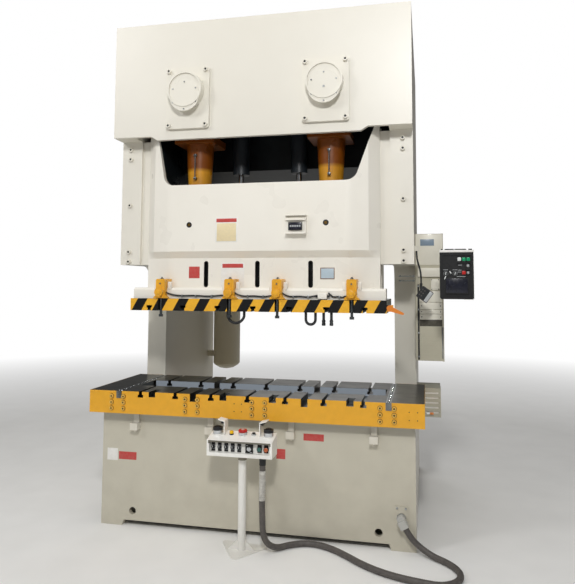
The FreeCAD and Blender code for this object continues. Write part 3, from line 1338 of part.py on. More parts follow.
# ---------------------------------------------------------------- right-hand side
def make_cabinet():
    """The control cabinet on the right side frame, open behind its door."""
    box = body("control_cabinet")
    wall, front = s.cabinet_wall, s.cabinet_front + s.door_thickness + s.door_gap
    back = s.cabinet_front + s.cabinet_depth
    left, right = frame_half, cabinet_right
    extrude(box, "XY", s.cabinet_bottom, s.cabinet_top - s.cabinet_bottom,
            [rectangle(left, front, right, back)])
    cut(box, "XY", s.cabinet_bottom + wall * 4, s.cabinet_top - s.cabinet_bottom - wall * 8,
        [rectangle(left + wall * 4, front, right - wall * 4, back - wall * 2)])
    ear = s.arm_ear
    pivot = panel_x
    low = s.arm_z - s.arm_hub_height / 2 - s.stem_gap
    high = s.arm_z + s.arm_hub_height / 2 + s.stem_gap
    half = s.arm_hub
    for z in (low - ear, high):
        extrude(box, "XY", z, ear,
                [rectangle(right, -half + s.arm_pivot_y, pivot, half + s.arm_pivot_y)])
        extrude(box, "XY", z, ear, [circle(pivot, s.arm_pivot_y, half)])
    cut(box, "XY", low - ear, high - low + ear * 2,
        [circle(pivot, s.arm_pivot_y, s.arm_pin + s.running_gap)])
    extrude(box, "XY", low - ear, high - low + ear * 2,
            [rectangle(right, s.arm_pivot_y - half, right + s.arm_ear, s.arm_pivot_y + half)])
    add_hinge_lugs(box)


def add_hinge_lugs(box):
    """Lugs over and under the door, in which its pins turn."""
    thick, reach = s.door_inset - s.stem_gap, s.door_hinge_in * 2
    x, y = cabinet_right - s.door_hinge_in, s.cabinet_front + s.door_hinge_back
    back = s.cabinet_front + s.door_thickness + s.door_gap
    for z in (s.cabinet_bottom, s.cabinet_top - thick):
        extrude(box, "XY", z, thick,
                [rectangle(cabinet_right - reach, s.cabinet_front, cabinet_right, back)])
        cut(box, "XY", z, thick, [circle(x, y, s.door_pin + s.running_gap)])


def make_cabinet_door():
    door = body("cabinet_door")
    inset = s.door_inset
    extrude(door, "XZ", s.cabinet_front, s.door_thickness,
            [rectangle(frame_half + inset, s.cabinet_bottom + inset, cabinet_right - inset,
                       s.cabinet_top - inset)])
    middle, high = (frame_half + cabinet_right) / 2, s.cabinet_top
    window = s.cabinet_width / 3
    cut(door, "XZ", s.cabinet_front, s.cabinet_wall,
        [rectangle(middle - window, high - window * 1.35, middle + window,
                   high - window * 0.6)])
    left = s.cabinet_width * 0.32
    grille = [rectangle(middle - left, s.cabinet_bottom + s.door_thickness * (2 + 2 * row),
                        middle + left, s.cabinet_bottom + s.door_thickness * (2.6 + 2 * row))
              for row in range(5)]
    cut(door, "XZ", s.cabinet_front, s.cabinet_wall, grille)
    x, y = cabinet_right - s.door_hinge_in, s.cabinet_front + s.door_hinge_back
    for z in (s.cabinet_bottom, s.cabinet_top - inset):
        extrude(door, "XY", z, inset, [circle(x, y, s.door_pin)])


def make_panel_arm():
    """The swing arm that carries the operator panel: two hubs and a tube."""
    arm = body("panel_arm")
    low, height = -s.arm_hub_height / 2, s.arm_hub_height
    far = -(s.arm_pivot_y + s.swivel_y)
    extrude(arm, "XZ", far, -far, [circle(0, 0, s.arm_radius)])
    for y in (as_size(0), far):
        extrude(arm, "XY", low, height, [circle(0, y, s.arm_hub - s.stem_gap * 2)])
    cut(arm, "XY", low, height, [circle(0, far, s.arm_pin + s.running_gap)])
    pin = s.arm_ear + s.stem_gap
    extrude(arm, "XY", low - pin, height + pin * 2, [circle(0, 0, s.arm_pin)])
    place(arm, panel_x, s.arm_pivot_y, s.arm_z)


def make_panel():
    """The operator panel: enclosure, raised rim, screen, buttons and swivel fork."""
    panel = body("panel_box")
    half, front = s.panel_width / 2, -s.panel_front
    low, high = s.panel_bottom, s.panel_bottom + s.panel_height
    extrude(panel, "XZ", front, s.panel_depth, [rectangle(-half, low, half, high)])
    soften(panel, corners_of(-half, low, half, high), "Y", s.panel_round)
    rim = s.panel_rim
    cut(panel, "XZ", front, s.panel_rim_depth,
        [rectangle(-half + rim, low + rim, half - rim, high - rim)])
    add_panel_controls(panel, front + s.panel_rim_depth, low, half)
    back = front + s.panel_depth
    hub_low = s.arm_z - s.arm_hub_height / 2 - s.stem_gap
    hub_high = s.arm_z + s.arm_hub_height / 2 + s.stem_gap
    for z in (hub_low - s.arm_ear, hub_high):
        extrude(panel, "XY", z, s.arm_ear,
                [rectangle(-s.arm_hub, back, s.arm_hub, -s.swivel_y)])
        extrude(panel, "XY", z, s.arm_ear, [circle(0, -s.swivel_y, s.arm_hub)])
    extrude(panel, "XY", hub_low - s.arm_ear, hub_high - hub_low + s.arm_ear * 2,
            [circle(0, -s.swivel_y, s.arm_pin)])
    place(panel, panel_x)


def add_panel_controls(panel, face, low, half):
    """Screen, square and round buttons on the panel's face."""
    wide, tall = s.screen_width / 2, s.screen_height
    rim = s.panel_rim
    extrude(panel, "XZ", face - s.panel_rim_depth / 2, s.panel_rim_depth / 2,
            [rectangle(rim - wide, low + rim * 3, rim + wide, low + rim * 3 + tall)])
    button = s.push_radius
    row = low + s.panel_height * 0.56
    upper = row + s.panel_height * 0.27
    rounds = [(-half * 0.66, row), (-half * 0.1, row), (half * 0.66, row + button * 2.6)]
    extrude(panel, "XZ", face - s.push_length, s.push_length,
            [circle(x, z, button) for x, z in rounds])
    squares = [(half * 0.12, upper), (half * 0.42, upper), (half * 0.72, upper),
               (half * 0.5, row)]
    extrude(panel, "XZ", face - s.push_length * 0.7, s.push_length * 0.7,
            [rectangle(x - button * 0.8, z - button * 0.8, x + button * 0.8, z + button * 0.8)
             for x, z in squares])


def make_terminal_box():
    """The louvred junction box at bed height, on the right side frame."""
    box = body("louvred_box")
    left, right = frame_half, frame_half + s.terminal_width
    front = s.terminal_front
    low, high = s.terminal_bottom, s.terminal_bottom + s.terminal_height
    extrude(box, "XZ", front, s.terminal_depth, [rectangle(left, low, right, high)])
    count = int(s.terminal_slots.value)
    pitch = s.terminal_height / (count + 1)
    louvres = [rectangle(left + pitch, low + pitch * (row + 1) - pitch / 6, right - pitch / 2,
                         low + pitch * (row + 1) + pitch / 6) for row in range(count)]
    cut(box, "XZ", front, pitch / 3, louvres)


def make_pendant():
    """The hand pendant and its cable, down from the hook on the right side frame."""
    side, depth = s.pendant_side.value, s.pendant_depth.value
    box = Part.makeBox(side, depth, side, V(-side / 2, -depth / 2, -side / 2))
    box = box.makeFillet(depth / 6, box.Edges)
    box.rotate(V(0, 0, 0), V(0, 1, 0), s.pendant_tilt.value)
    box.translate(V(s.pendant_x.value, s.pendant_y.value, s.pendant_z.value))
    x, y, top = s.boot_x.value, s.pendant_y.value, s.boot_top.value
    boot = Part.makeCylinder(s.boot_radius.value, top - s.pendant_z.value,
                             V(x, y, s.pendant_z.value))
    solid("hand_pendant", box.fuse(boot))
    start = (frame_half + s.hook_reach / 2).value
    low = (s.hook_z - s.hook_size / 2).value
    drop = low - top
    route = [(start, y, low), (start, y, low - drop * 0.17),
             (start + 11, y - 1, low - drop * 0.38), (x - 5, y - 2, low - drop * 0.6),
             (x, y, low - drop * 0.82), (x, y, top)]
    solid("pendant_cable", tube(route, s.pendant_cable.value))


def make_receiver():
    """The upright air receiver inside the left side frame, for balancers and clutch."""
    tank = body("air_receiver")
    radius, dome = s.receiver_radius, s.receiver_dome
    low, high = s.receiver_bottom, s.receiver_top
    turn(tank, [(0, low), (radius * 0.55, low + dome * 0.25), (radius * 0.9, low + dome * 0.7),
                (radius, low + dome), (radius, high - dome), (radius * 0.9, high - dome * 0.7),
                (radius * 0.55, high - dome * 0.25), (0, high)])
    place(tank, s.receiver_x, s.receiver_y)
    half = s.receiver_bracket / 2
    reach = -side_inner - s.receiver_x
    for z in (low + dome * 2, high - dome * 2 - s.receiver_bracket):
        extrude(tank, "XY", z, s.receiver_bracket,
                [rectangle(reach, -half, -radius * 0.9, half)])


def hanging_loop(x, half, drop):
    """A route that hangs from two points: two straight runs and a round bottom."""
    turns = [math.radians(36 * step) for step in range(6)]
    front, top = -s.die_plate_front.value + s.hose_inset.value, die_plate_bottom.value
    run = 2 * half * math.tan(math.radians(18))
    across, up = -half, top - drop + half
    route = [(x - half, front, top), (x - half, front, (top + up) / 2)]
    for number, angle in enumerate(turns[:-1]):
        length = run / 2 if number == 0 else run
        across += length * math.sin(angle)
        up -= length * math.cos(angle)
        route.append((x + across, front - 1 - number % 2, up))
    return route + [(x + half, front, (top + up) / 2), (x + half, front, top)]


def hanging_plug(x):
    """A short hose that hangs straight down and ends in a plug."""
    front, top = -s.die_plate_front.value + s.hose_inset.value, die_plate_bottom.value
    drop, length = s.plug_drop.value, s.plug_length.value
    hose = Part.makeCylinder(s.hose_radius.value, drop, V(x.value, front, top - drop))
    plug = Part.makeCylinder(s.plug_tip.value, length, V(x.value, front, top - drop))
    return hose.fuse(plug).removeSplitter()


def make_hoses():
    """The die clamps' hydraulic hoses below the striped plate: two loops and two plugs."""
    radius = s.hose_radius.value
    loops = [tube(hanging_loop(s.hose_x_1.value, s.hose_half_1.value, s.hose_drop_1.value),
                  radius),
             tube(hanging_loop(s.hose_x_2.value, s.hose_half_2.value, s.hose_drop_2.value),
                  radius)]
    loops += [hanging_plug(x) for x in (s.plug_x_1, s.plug_x_2)]
    solid("slide_hoses", Part.makeCompound(loops))


def make_everything():
    make_side_frame("side_frame_left", -frame_half)
    add_hook(make_side_frame("side_frame_right", side_inner))
    make_bed()
    make_crown()
    make_gibs()
    make_frame_screws()
    make_crank_covers()
    make_bearings()
    for side, x in (("left", -crank_x), ("right", crank_x)):
        make_crankshaft(f"crankshaft_{side}", x)
        make_crank_pin(f"crank_pin_{side}", x)
        make_main_gear(f"main_gear_{side}", x, math.pi / s.gear_teeth.value)
        make_con_rod(f"con_rod_{side}", x)
        make_nut(f"adjusting_nut_{side}", x)
    make_pinion_shaft()
    make_flywheel()
    make_motor()
    make_motor_pulley()
    make_belts()
    make_guard()
    make_balancers()
    make_slide()
    make_die_plate()
    make_clamps()
    make_side_lever()
    make_counter()
    make_bolster()
    make_bolster_screws()
    make_bolster_brackets()
    make_lifter_rail("lifter_rail_left", -rail_place)
    make_lifter_rail("lifter_rail_right", rail_place)
    make_hold_downs()
    make_stand()
    make_console()
    make_buttons()
    for number in range(5):
        make_selector(number)
    make_cable_glands()
    make_main_cable()
    make_cabinet()
    make_cabinet_door()
    make_panel_arm()
    make_panel()
    make_terminal_box()
    make_pendant()
    make_receiver()
    make_hoses()


def check():
    """Stop if any object failed or any part is not a valid solid."""
    doc.recompute()
    for thing in doc.Objects:
        if "Invalid" in thing.State or "Error" in thing.State:
            raise ValueError(f"{thing.Label} failed: {thing.State}")
    for label, part in parts.items():
        if part.Shape.isNull() or not part.Shape.isValid() or not part.Shape.Solids:
            raise ValueError(f"{label} is not a valid solid")


def export():
    os.makedirs("parts", exist_ok=True)
    for label, part in parts.items():
        part.Shape.exportStep(f"parts/{label}.step")
        box = part.Shape.BoundBox
        print("%-22s %3d solids  X %7.0f %7.0f  Y %7.0f %7.0f  Z %7.0f %7.0f"
              % (label, len(part.Shape.Solids), box.XMin, box.XMax, box.YMin, box.YMax,
                 box.ZMin, box.ZMax))


make_everything()
check()
export()
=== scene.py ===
# %% [markdown]
# # A mechanical stamping press, dressed for its portrait
# The press was drawn in CAD: every frame plate, gear, rod and button already has its true
# shape and place. This file adds what a camera sees on top of that: paint, ground steel,
# rubber, small screws, plain plates and hoses. Every length is in metres, +X is to the right
# seen from the front, +Y goes to the back and +Z up, with the origin on the floor.

# %% Load the frame
import json
import math
import bmesh
import bpy
from mathutils import Matrix, Vector

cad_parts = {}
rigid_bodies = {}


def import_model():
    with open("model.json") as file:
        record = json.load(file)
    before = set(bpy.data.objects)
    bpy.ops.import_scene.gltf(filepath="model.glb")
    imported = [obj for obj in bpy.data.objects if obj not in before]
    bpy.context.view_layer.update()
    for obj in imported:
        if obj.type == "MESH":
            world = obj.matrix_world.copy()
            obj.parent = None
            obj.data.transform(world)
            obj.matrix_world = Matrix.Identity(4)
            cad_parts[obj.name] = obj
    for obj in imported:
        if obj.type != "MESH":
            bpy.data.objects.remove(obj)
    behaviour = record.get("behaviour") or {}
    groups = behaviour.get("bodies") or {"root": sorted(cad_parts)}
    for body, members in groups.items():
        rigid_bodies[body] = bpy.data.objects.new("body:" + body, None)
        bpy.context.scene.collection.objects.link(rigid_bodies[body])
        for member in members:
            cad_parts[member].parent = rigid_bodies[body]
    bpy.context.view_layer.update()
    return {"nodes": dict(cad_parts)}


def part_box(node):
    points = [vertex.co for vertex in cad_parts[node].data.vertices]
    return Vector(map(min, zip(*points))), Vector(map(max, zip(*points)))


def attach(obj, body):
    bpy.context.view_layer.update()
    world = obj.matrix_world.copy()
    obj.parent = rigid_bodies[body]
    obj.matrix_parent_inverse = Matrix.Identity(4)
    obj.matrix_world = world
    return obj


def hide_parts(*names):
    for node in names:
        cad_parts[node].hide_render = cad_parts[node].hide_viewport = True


for leftover in list(bpy.data.objects):
    bpy.data.objects.remove(leftover)
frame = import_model()

# %% [markdown]
# ## The camera
# Straight edges that run in X, Y and Z meet in vanishing points, which give the lens and the
# direction; the T-slot spacing of 300 mm gives the distance. The picture was taken from the
# right, at eye height, looking slightly up. It is cropped off-centre, hence the two shifts.

# %% Place the camera
def show(name, data):
    """Put a camera, lamp, mesh or curve into the scene as an object of its own."""
    thing = bpy.data.objects.new(name, data)
    bpy.context.scene.collection.objects.link(thing)
    return thing


def aimed(spot, direction):
    """Where a camera or lamp stands, and the way it looks."""
    return Matrix.Translation(spot) @ direction.to_track_quat("-Z", "Y").to_matrix().to_4x4()


lens = bpy.data.cameras.new("camera")
lens.lens = 37.18
lens.sensor_width = 36
lens.shift_x = -0.014
lens.shift_y = -0.0893
lens.clip_end = 200
camera = show("camera", lens)
looking = Vector((-0.2096, 0.9751, 0.0728)).normalized()
camera.matrix_world = (aimed((1.3647, -5.0329, 1.9756), looking) @ Matrix.Rotation(0.0038, 4, "Z"))
bpy.context.scene.camera = camera
bpy.context.scene.view_settings.view_transform = "Standard"
print("camera looks along", [round(part, 3) for part in looking])

# %% [markdown]
# ## Colours and nodes
# Screens give a colour as an sRGB hex value, but light adds up in linear numbers, so one
# function turns the first into the second. The next one adds a shader node: its inputs are
# numbers, hex colours or the outputs of other nodes, which it links. The rest build masks and
# patterns out of these. All of them add to one node tree at a time, called tree.

# %% A colour and a node
def colour(hex_text):
    """An sRGB hex colour as the linear colour that the shaders work in."""
    parts = [int(hex_text[i:i + 2], 16) / 255 for i in (1, 3, 5)]
    return (*[p / 12.92 if p <= 0.04045 else ((p + 0.055) / 1.055) ** 2.4 for p in parts], 1)


def add(kind, inputs=None, **settings):
    """Add a node with its settings, and give its inputs values, hex colours or links."""
    node = tree.nodes.new(kind)
    for name, value in settings.items():
        setattr(node, name, value)
    for name, value in (inputs or {}).items():
        if isinstance(value, bpy.types.NodeSocket):
            tree.links.new(value, node.inputs[name])
        else:
            node.inputs[name].default_value = colour(value) if isinstance(value, str) else value
    return node


def mixed(amount, first, second):
    """The colour between two others, by an amount from 0 to 1."""
    return add("ShaderNodeMix", {0: amount, 6: first, 7: second}, data_type="RGBA").outputs[2]


def maths(operation, *values):
    """One step of arithmetic on numbers or outputs."""
    return add("ShaderNodeMath", dict(enumerate(values)), operation=operation).outputs[0]


def stretch(place, factors):
    """A place with its three parts multiplied, which stretches a pattern the other way."""
    return add("ShaderNodeVectorMath", {0: place, 1: factors}, operation="MULTIPLY").outputs[0]


def ramp(value, low=0, high=1, to_low=0, to_high=1):
    """Turn the span between two values into the span between two others."""
    return add("ShaderNodeMapRange", {"Value": value, "From Min": low, "From Max": high,
                                      "To Min": to_low, "To Max": to_high}).outputs["Result"]


def speckle(place, size, low, high, detail=2):
    """Noise of a real size in metres, spread between two numbers."""
    noise = add("ShaderNodeTexNoise", {"Vector": place, "Scale": 1 / size, "Detail": detail})
    return ramp(noise.outputs["Fac"], 0.3, 0.7, low, high)


def between(value, low, high, soft=0.0005):
    """1 where a value lies between two limits, 0 elsewhere, with a soft edge."""
    return maths("MULTIPLY", ramp(value, low - soft, low + soft),
                 ramp(value, high - soft, high + soft, 1, 0))


def product(*amounts):
    """Several masks multiplied into one."""
    made = amounts[0]
    for amount in amounts[1:]:
        made = maths("MULTIPLY", made, amount)
    return made


def in_box(spot, low, high):
    """1 inside the box between two corners, 0 outside it; the spot is its X, Y and Z outputs."""
    return product(*[between(*limits) for limits in zip(spot, low, high)])

# %% [markdown]
# ## Floor, light and white background
# The press stands in an empty pale studio. A wide round floor keeps its shadow and fades to
# white far out, so no horizon line shows. Rays from the camera meet a white world. All others
# meet a dimmer sky, so that black paint stays black and the light comes mostly from large
# lamps high at the front, as in a factory hall.

# %% Studio
def material(name):
    """Start a material: returns it, where a point lies on the machine, and its X, Y and Z."""
    global tree
    made = bpy.data.materials.new(name)
    made.use_nodes = True
    tree = made.node_tree
    tree.nodes.clear()
    add("ShaderNodeOutputMaterial")
    place = add("ShaderNodeTexCoord").outputs["Object"]
    return (made, place, *add("ShaderNodeSeparateXYZ", {0: place}).outputs)


def seen_directly():
    """1 for rays from the camera and for those through glass."""
    path = add("ShaderNodeLightPath")
    return maths("MAXIMUM", path.outputs["Is Camera Ray"], path.outputs["Is Transmission Ray"])


world = bpy.data.worlds.new("studio")
bpy.context.scene.world = world
world.use_nodes = True
tree = world.node_tree
tree.nodes.clear()
SKY_LIGHT, SKY_MIRRORED = 0.26, 0.12  # its strength as light, and in reflections
mirrored = add("ShaderNodeLightPath").outputs["Is Glossy Ray"]
dimmed = ramp(mirrored, to_low=SKY_LIGHT, to_high=SKY_MIRRORED)
strength = ramp(seen_directly(), to_low=dimmed)
sky = add("ShaderNodeBackground", {"Color": "#FFFFFF", "Strength": strength})
add("ShaderNodeOutputWorld", {"Surface": sky.outputs[0]})

paint, place, *_ = material("pale_floor_screed")
far = add("ShaderNodeVectorMath", {0: place}, operation="LENGTH").outputs["Value"]
fade = ramp(far, 5, 13)
matte = add("ShaderNodeBsdfPrincipled",
            {"Base Color": mixed(speckle(place, 0.35, 0, 1), "#F1F0ED", "#F5F4F1"),
             "Roughness": 0.85})
white = add("ShaderNodeEmission", {"Color": "#FFFFFF", "Strength": 1})
both = add("ShaderNodeMixShader", {0: product(fade, seen_directly()), 1: matte.outputs[0],
                                   2: white.outputs[0]})
tree.links.new(both.outputs[0], tree.nodes["Material Output"].inputs["Surface"])

circle = bmesh.new()
bmesh.ops.create_circle(circle, cap_ends=True, radius=60, segments=96)
floor_mesh = bpy.data.meshes.new("floor")
circle.to_mesh(floor_mesh)
circle.free()
floor_mesh.materials.append(paint)
floor = show("floor", floor_mesh)
floor.location.z = -0.0005

MIDDLE = Vector((0, 0, 2.1))
for name, spot, size, power in (("key", (1.6, -6.5, 5.8), 0.8, 245),
                                ("fill", (-4.4, -4.8, 6), 1.4, 100),
                                ("top", (0, -1.6, 8), 3, 80),
                                ("back", (-1, 7, 5.5), 4, 110)):
    lamp = bpy.data.lights.new(name, "AREA")
    lamp.shape, lamp.size, lamp.energy = "SQUARE", size, power
    show(name, lamp).matrix_world = aimed(spot, MIDDLE - Vector(spot))
print("studio: floor, sky and 4 soft lamps")

# %% [markdown]
# ## Sprayed enamel on welded plate
# The whole machine wears cream-white satin enamel, sprayed over filled steel plate. Light
# spreads in a wide soft gleam, which the skin of the paint breaks up. The real orange-peel
# skin repeats every 2 mm, too fine to see on a machine 4.7 m high, so it is drawn 12 mm wide.
# Dust and coolant stain the foot with a brown tint that fades out with height.

# %% Cream enamel
PEEL = 0.012  # the width of the skin's waves, in metres


def shader(base, rough, bump=None, depth=0.0002, **more):
    """The surface shader with its roughness, and a bump of a real depth in metres."""
    inputs = {"Base Color": base, "Roughness": rough}
    inputs.update({name.replace("_", " "): value for name, value in more.items()})
    if bump is not None:
        raised = add("ShaderNodeBump", {"Height": bump, "Strength": 0.6, "Distance": depth})
        inputs["Normal"] = raised.outputs["Normal"]
    made = add("ShaderNodeBsdfPrincipled", inputs)
    tree.links.new(made.outputs[0], tree.nodes["Material Output"].inputs["Surface"])
    return made


def enamel_colour(place, z, shade):
    """Enamel with faint waves of tone, and grime that fades out above the foot."""
    tone = mixed(speckle(place, 0.9, 0, 0.1), shade, "#B9AE97")
    foot = ramp(z, 1.1, 0, 0.03, 0.3)
    dirt = product(foot, speckle(place, 0.16, 0.35, 1, 5))
    return mixed(dirt, tone, "#8C8474")


def enamel(name, shade, rough=0.36, boxes=()):
    """Satin enamel of one shade; boxes (low, high, shade) have a tone of their own."""
    made, place, *spot = material(name)
    tone = enamel_colour(place, spot[2], shade)
    for low, high, other in boxes:
        tone = mixed(in_box(spot, low, high), tone, other)
    shader(tone, speckle(place, 0.25, rough - 0.05, rough + 0.07), speckle(place, PEEL, 0, 1),
           0.00015, Coat_Weight=0.15)
    return made


# The slide's inside, painted shade: three slots without light, and the U-shaped cut behind its
# front. The same near-black stands for the deep shade inside the frames and the guard.
SHADE_INSIDE, UNLIT = "#12171A", "#0C0D0E"
slide_slots = [((x - 0.0215, -0.189, 1.942), (x + 0.0215, 0.3, 2.168), UNLIT)
               for x in (-0.45, 0, 0.45)]
slide_slots += [((-0.92, -0.189, 2.803), (0.92, 0.3, 3.35), SHADE_INSIDE),
                ((0.92, -0.1, 3.12), (1, 0.3, 3.35), SHADE_INSIDE)]
machine_enamel = enamel("cream_enamel_on_welded_plate", "#E6E2D6")
# Painted shade: the side frames' inner faces above the throat are near black.
frame_enamel = enamel("cream_enamel_on_side_frames", "#E3DFD2", 0.36,
                      [((-1.0935, 0.12, 2.3), (1.0935, 1.85, 4.2), SHADE_INSIDE)])
# Painted shade: the guard's front face, deep behind the crown, is near black.
guard_enamel = enamel("cream_enamel_on_belt_guard", "#E6E2D6", 0.36,
                      [((-0.7, 1.78, 2.9), (0.7, 1.7925, 4.22), SHADE_INSIDE)])
# Painted shade: the bed is a darker cream than the frame, for the shade below the bolster's
# overhang.
bed_shaded_enamel = enamel("oil_stained_cream_enamel_on_bed", "#CFCAB9", 0.42)
slide_enamel = enamel("cream_enamel_on_filled_casting", "#F5F1E7", 0.3, slide_slots)
cabinet_enamel = enamel("beige_powder_coat_on_sheet_steel", "#C6C1AC", 0.42)
panel_enamel = enamel("light_beige_powder_coat_on_covers", "#EEEADB", 0.4)
# Painted shadow: a dark band across the console's front under its top lip.
console_enamel = enamel("white_powder_coat_on_sheet_steel", "#FBFAF5", 0.4,
                        [((-0.2265, -0.702, 0.795), (0.2525, -0.65, 0.8185), "#6F6B60")])
receiver_enamel = enamel("beige_enamel_on_pressed_steel", "#D9D2BD", 0.38)
louvre_enamel = enamel("grey_green_enamel_with_bright_slots", "#B4B2A2", 0.45,
                       [((1.31, 0.4715, 0.83), (1.475, 0.52, 1.06), "#F2F1EC")])
print("enamels:", machine_enamel.name, slide_enamel.name, cabinet_enamel.name)

# %% [markdown]
# ## The crown's two faces
# Outside, the crown is cream like the frame. Inside it lies in deep shade, painted in as a
# near-black tone. One CAD part has both, so the material asks where each point lies: behind the
# front plate, between the side frames and below the roof, it turns to the painted shade.

# %% Crown enamel and painted inner shade
crown_enamel, place, *spot = material("cream_enamel_outside_dark_primer_inside")
inner = in_box(spot, (-1.0925, -0.2566, 3), (1.0925, 1.7885, 4.19))
outer_tone = enamel_colour(place, spot[2], "#E4E0D5")
# Painted shade: the inside is near black with faint patches.
inside_shade = mixed(speckle(place, 0.12, 0, 1), "#0C1114", "#182024")
shader(mixed(inner, outer_tone, inside_shade), ramp(inner, to_low=0.36, to_high=0.5),
       speckle(place, PEEL, 0, 1), 0.00015)
print("crown:", crown_enamel.name)

# %% [markdown]
# ## Machined steel
# The bolster's top, the guides and the gears are planed or ground. A grinder leaves fine
# parallel lines, 0.1 mm apart, so light streaks across them; they are drawn 4 mm apart, and
# stretched a metre long, to show at this size. Oil and rust spots darken the top in patches.

# %% Ground steel
# Which way the lines run: the pattern is stretched where its number is small.
ALONG_X, ALONG_Y, ALONG_Z = (1, 250, 250), (250, 3, 250), (250, 250, 2)


def ground_colour(place, light, dark):
    """Oily ground steel: stains of a hand's width over the plain grey."""
    return mixed(speckle(place, 0.13, 0, 1, 6), light, dark)


def grinding(place, along=ALONG_X):
    """Long fine scratches along one direction."""
    return add("ShaderNodeTexNoise", {"Vector": stretch(place, along), "Scale": 1,
                                      "Detail": 2}).outputs["Fac"]


def machined(name, light, dark, rough, along=ALONG_X):
    """Bare metal whose gleam changes from line to line."""
    made, place, *_ = material(name)
    lines = grinding(place, along)
    spread = ramp(lines, to_low=rough - 0.08, to_high=rough + 0.1)
    shader(ground_colour(place, light, dark), spread, lines, 0.0001, Metallic=1)
    return made


ground_steel = machined("ground_steel", "#A9ACAC", "#6C7071", 0.32)
gear_steel = machined("oiled_forged_steel", "#7D8082", "#4B4E50", 0.38, ALONG_Z)
chrome = machined("hard_chrome_plating", "#D8DADC", "#C3C6C8", 0.12, (200, 200, 5))
worn_chrome = machined("worn_chrome_on_clamp_rods", "#8E9397", "#5E6366", 0.25, (200, 200, 5))
bronze = machined("bearing_bronze", "#B58B4C", "#8C6A38", 0.34, ALONG_Y)
cast_iron = machined("turned_cast_iron", "#6E7173", "#45484A", 0.45, ALONG_Y)
zinc = machined("zinc_plated_steel", "#B9BCBC", "#9A9D9E", 0.28, (60, 60, 60))
print("machined:", ground_steel.name, gear_steel.name, chrome.name)

# %% [markdown]
# ## Gibs: painted plate, scraped guide
# Each gib is a painted cover plate at the front and a scraped steel bar behind it, which the
# slide rubs on. The finish changes where the plate ends, 61 mm behind its front.

# %% Gib finish
gib_finish, place, _, y, z = material("enamelled_gib_plate_with_scraped_guide")
guide = between(y, -0.0665, 2, 0.0002)
lines = grinding(place, ALONG_Z)
shader(mixed(guide, enamel_colour(place, z, "#E8E4D9"),
             ground_colour(place, "#A5A8A8", "#707475")), 0.36, lines, 0.00008, Metallic=guide)
print("gibs:", gib_finish.name)

# %% [markdown]
# ## The bolster plate
# Its top is planed steel, its rim is painted signal yellow. The T-slots cut through the paint,
# so their walls stay dark steel. The material is yellow only where a point lies on one of the
# four outer faces, and pale on the rear wall of the cross channel, which catches the light.

# %% Bolster: yellow rim, planed top
bolster_finish, place, x, y, z = material("planed_steel_with_yellow_enamel_rim")
inside = product(between(x, -1.3485, 1.3485, 0.0002), between(y, -0.4485, 0.4485, 0.0002))
worn = speckle(place, 0.05, 0, 0.25, 5)
yellow = mixed(worn, "#EDAE2C", "#C98F24")
steel = mixed(speckle(place, 0.14, 0, 1, 6), "#6B6962", "#3B3833")
channel_rear = in_box((x, y, z), (-1.03, 0.1185, 1.03), (1.03, 0.1215, 1.0988))
steel = mixed(channel_rear, steel, "#A9B3BE")
shader(mixed(inside, yellow, steel), ramp(inside, to_low=0.35, to_high=0.3), grinding(place),
       0.0001, Metallic=maths("SUBTRACT", inside, channel_rear))
print("bolster:", bolster_finish.name)

# %% [markdown]
# ## The striped plate
# The plate under the slide carries black and yellow danger stripes, sprayed over masking tape,
# that lean like a slash. Each band is 92 mm wide along the plate. Only the front is striped;
# the rest of the plate is plain machined steel with an oily film.

# %% Danger stripes
stripe_finish, place, x, y, z = material("striped_enamel_on_steel_plate")
STRIPE_PERIOD, STRIPE_START, STRIPE_LEAN = 0.1845, 2.0436, 0.56
across = maths("SUBTRACT", x, maths("MULTIPLY", z, STRIPE_LEAN))
from_first = maths("ADD", across, STRIPE_START)
step = maths("FRACT", maths("MULTIPLY", from_first, 1 / STRIPE_PERIOD))
black_band = between(step, 0.02, 0.5, 0.004)
front = between(y, -0.4, -0.3235)
chipped = speckle(place, 0.03, 0, 0.2, 5)
paint_tone = mixed(black_band, mixed(chipped, "#F0B42E", "#C48C22"), "#08080A")
plate_tone = ground_colour(place, "#6E7273", "#43474A")
shader(mixed(front, plate_tone, paint_tone), 0.36, grinding(place), 0.0001,
       Metallic=maths("SUBTRACT", 1, front))
print("stripes:", stripe_finish.name)

# %% [markdown]
# ## Signal yellow, motor blue and black oxide
# The connecting rods and the die clamps are signal yellow. Oil runs down them and darkens the
# yellow toward orange. On the rods a dark orange band at the top is painted shadow from the
# crown. The motor is blue-grey, and the oil plugs are black from hot oxide.

# %% Other paints
def oily_enamel(name, clean, oiled, rough=0.32, patch=0.07, shadow_band=None):
    """Enamel with stretched runs of oil; its last argument (low, high, shade) is a painted shadow
    that darkens it above a height.
    """
    made, place, _, _, z = material(name)
    runs = stretch(place, (1, 1, 0.25))
    tone = mixed(speckle(runs, patch, 0, 0.8, 4), clean, oiled)
    # Painted shadow: above a height the tone turns to a darker shade.
    if shadow_band:
        low, high, shade = shadow_band
        tone = mixed(ramp(z, low, high), tone, shade)
    shader(tone, speckle(place, 0.1, rough - 0.06, rough + 0.1), speckle(place, 0.01, 0, 1),
           0.00015)
    return made


# The rods get a painted shadow: dark orange above 2.95 m, where the crown shades them.
rod_yellow = oily_enamel("oily_yellow_enamel_on_cast_steel", "#E0A02A", "#B87A1C",
                         shadow_band=(2.95, 2.99, "#7A3F08"))
clamp_yellow = oily_enamel("yellow_enamel_on_clamp_bodies", "#F0B230", "#D89A26", 0.3)
lever_orange = oily_enamel("orange_vinyl_dipped_handle", "#E8892E", "#D07522", 0.4)
# Painted highlight: the screw heads are a lighter yellow than the bolster's rim.
bolt_yellow_highlit = oily_enamel("yellow_enamel_over_screw_heads", "#F0C55E", "#C8922E", 0.35, 0.01)
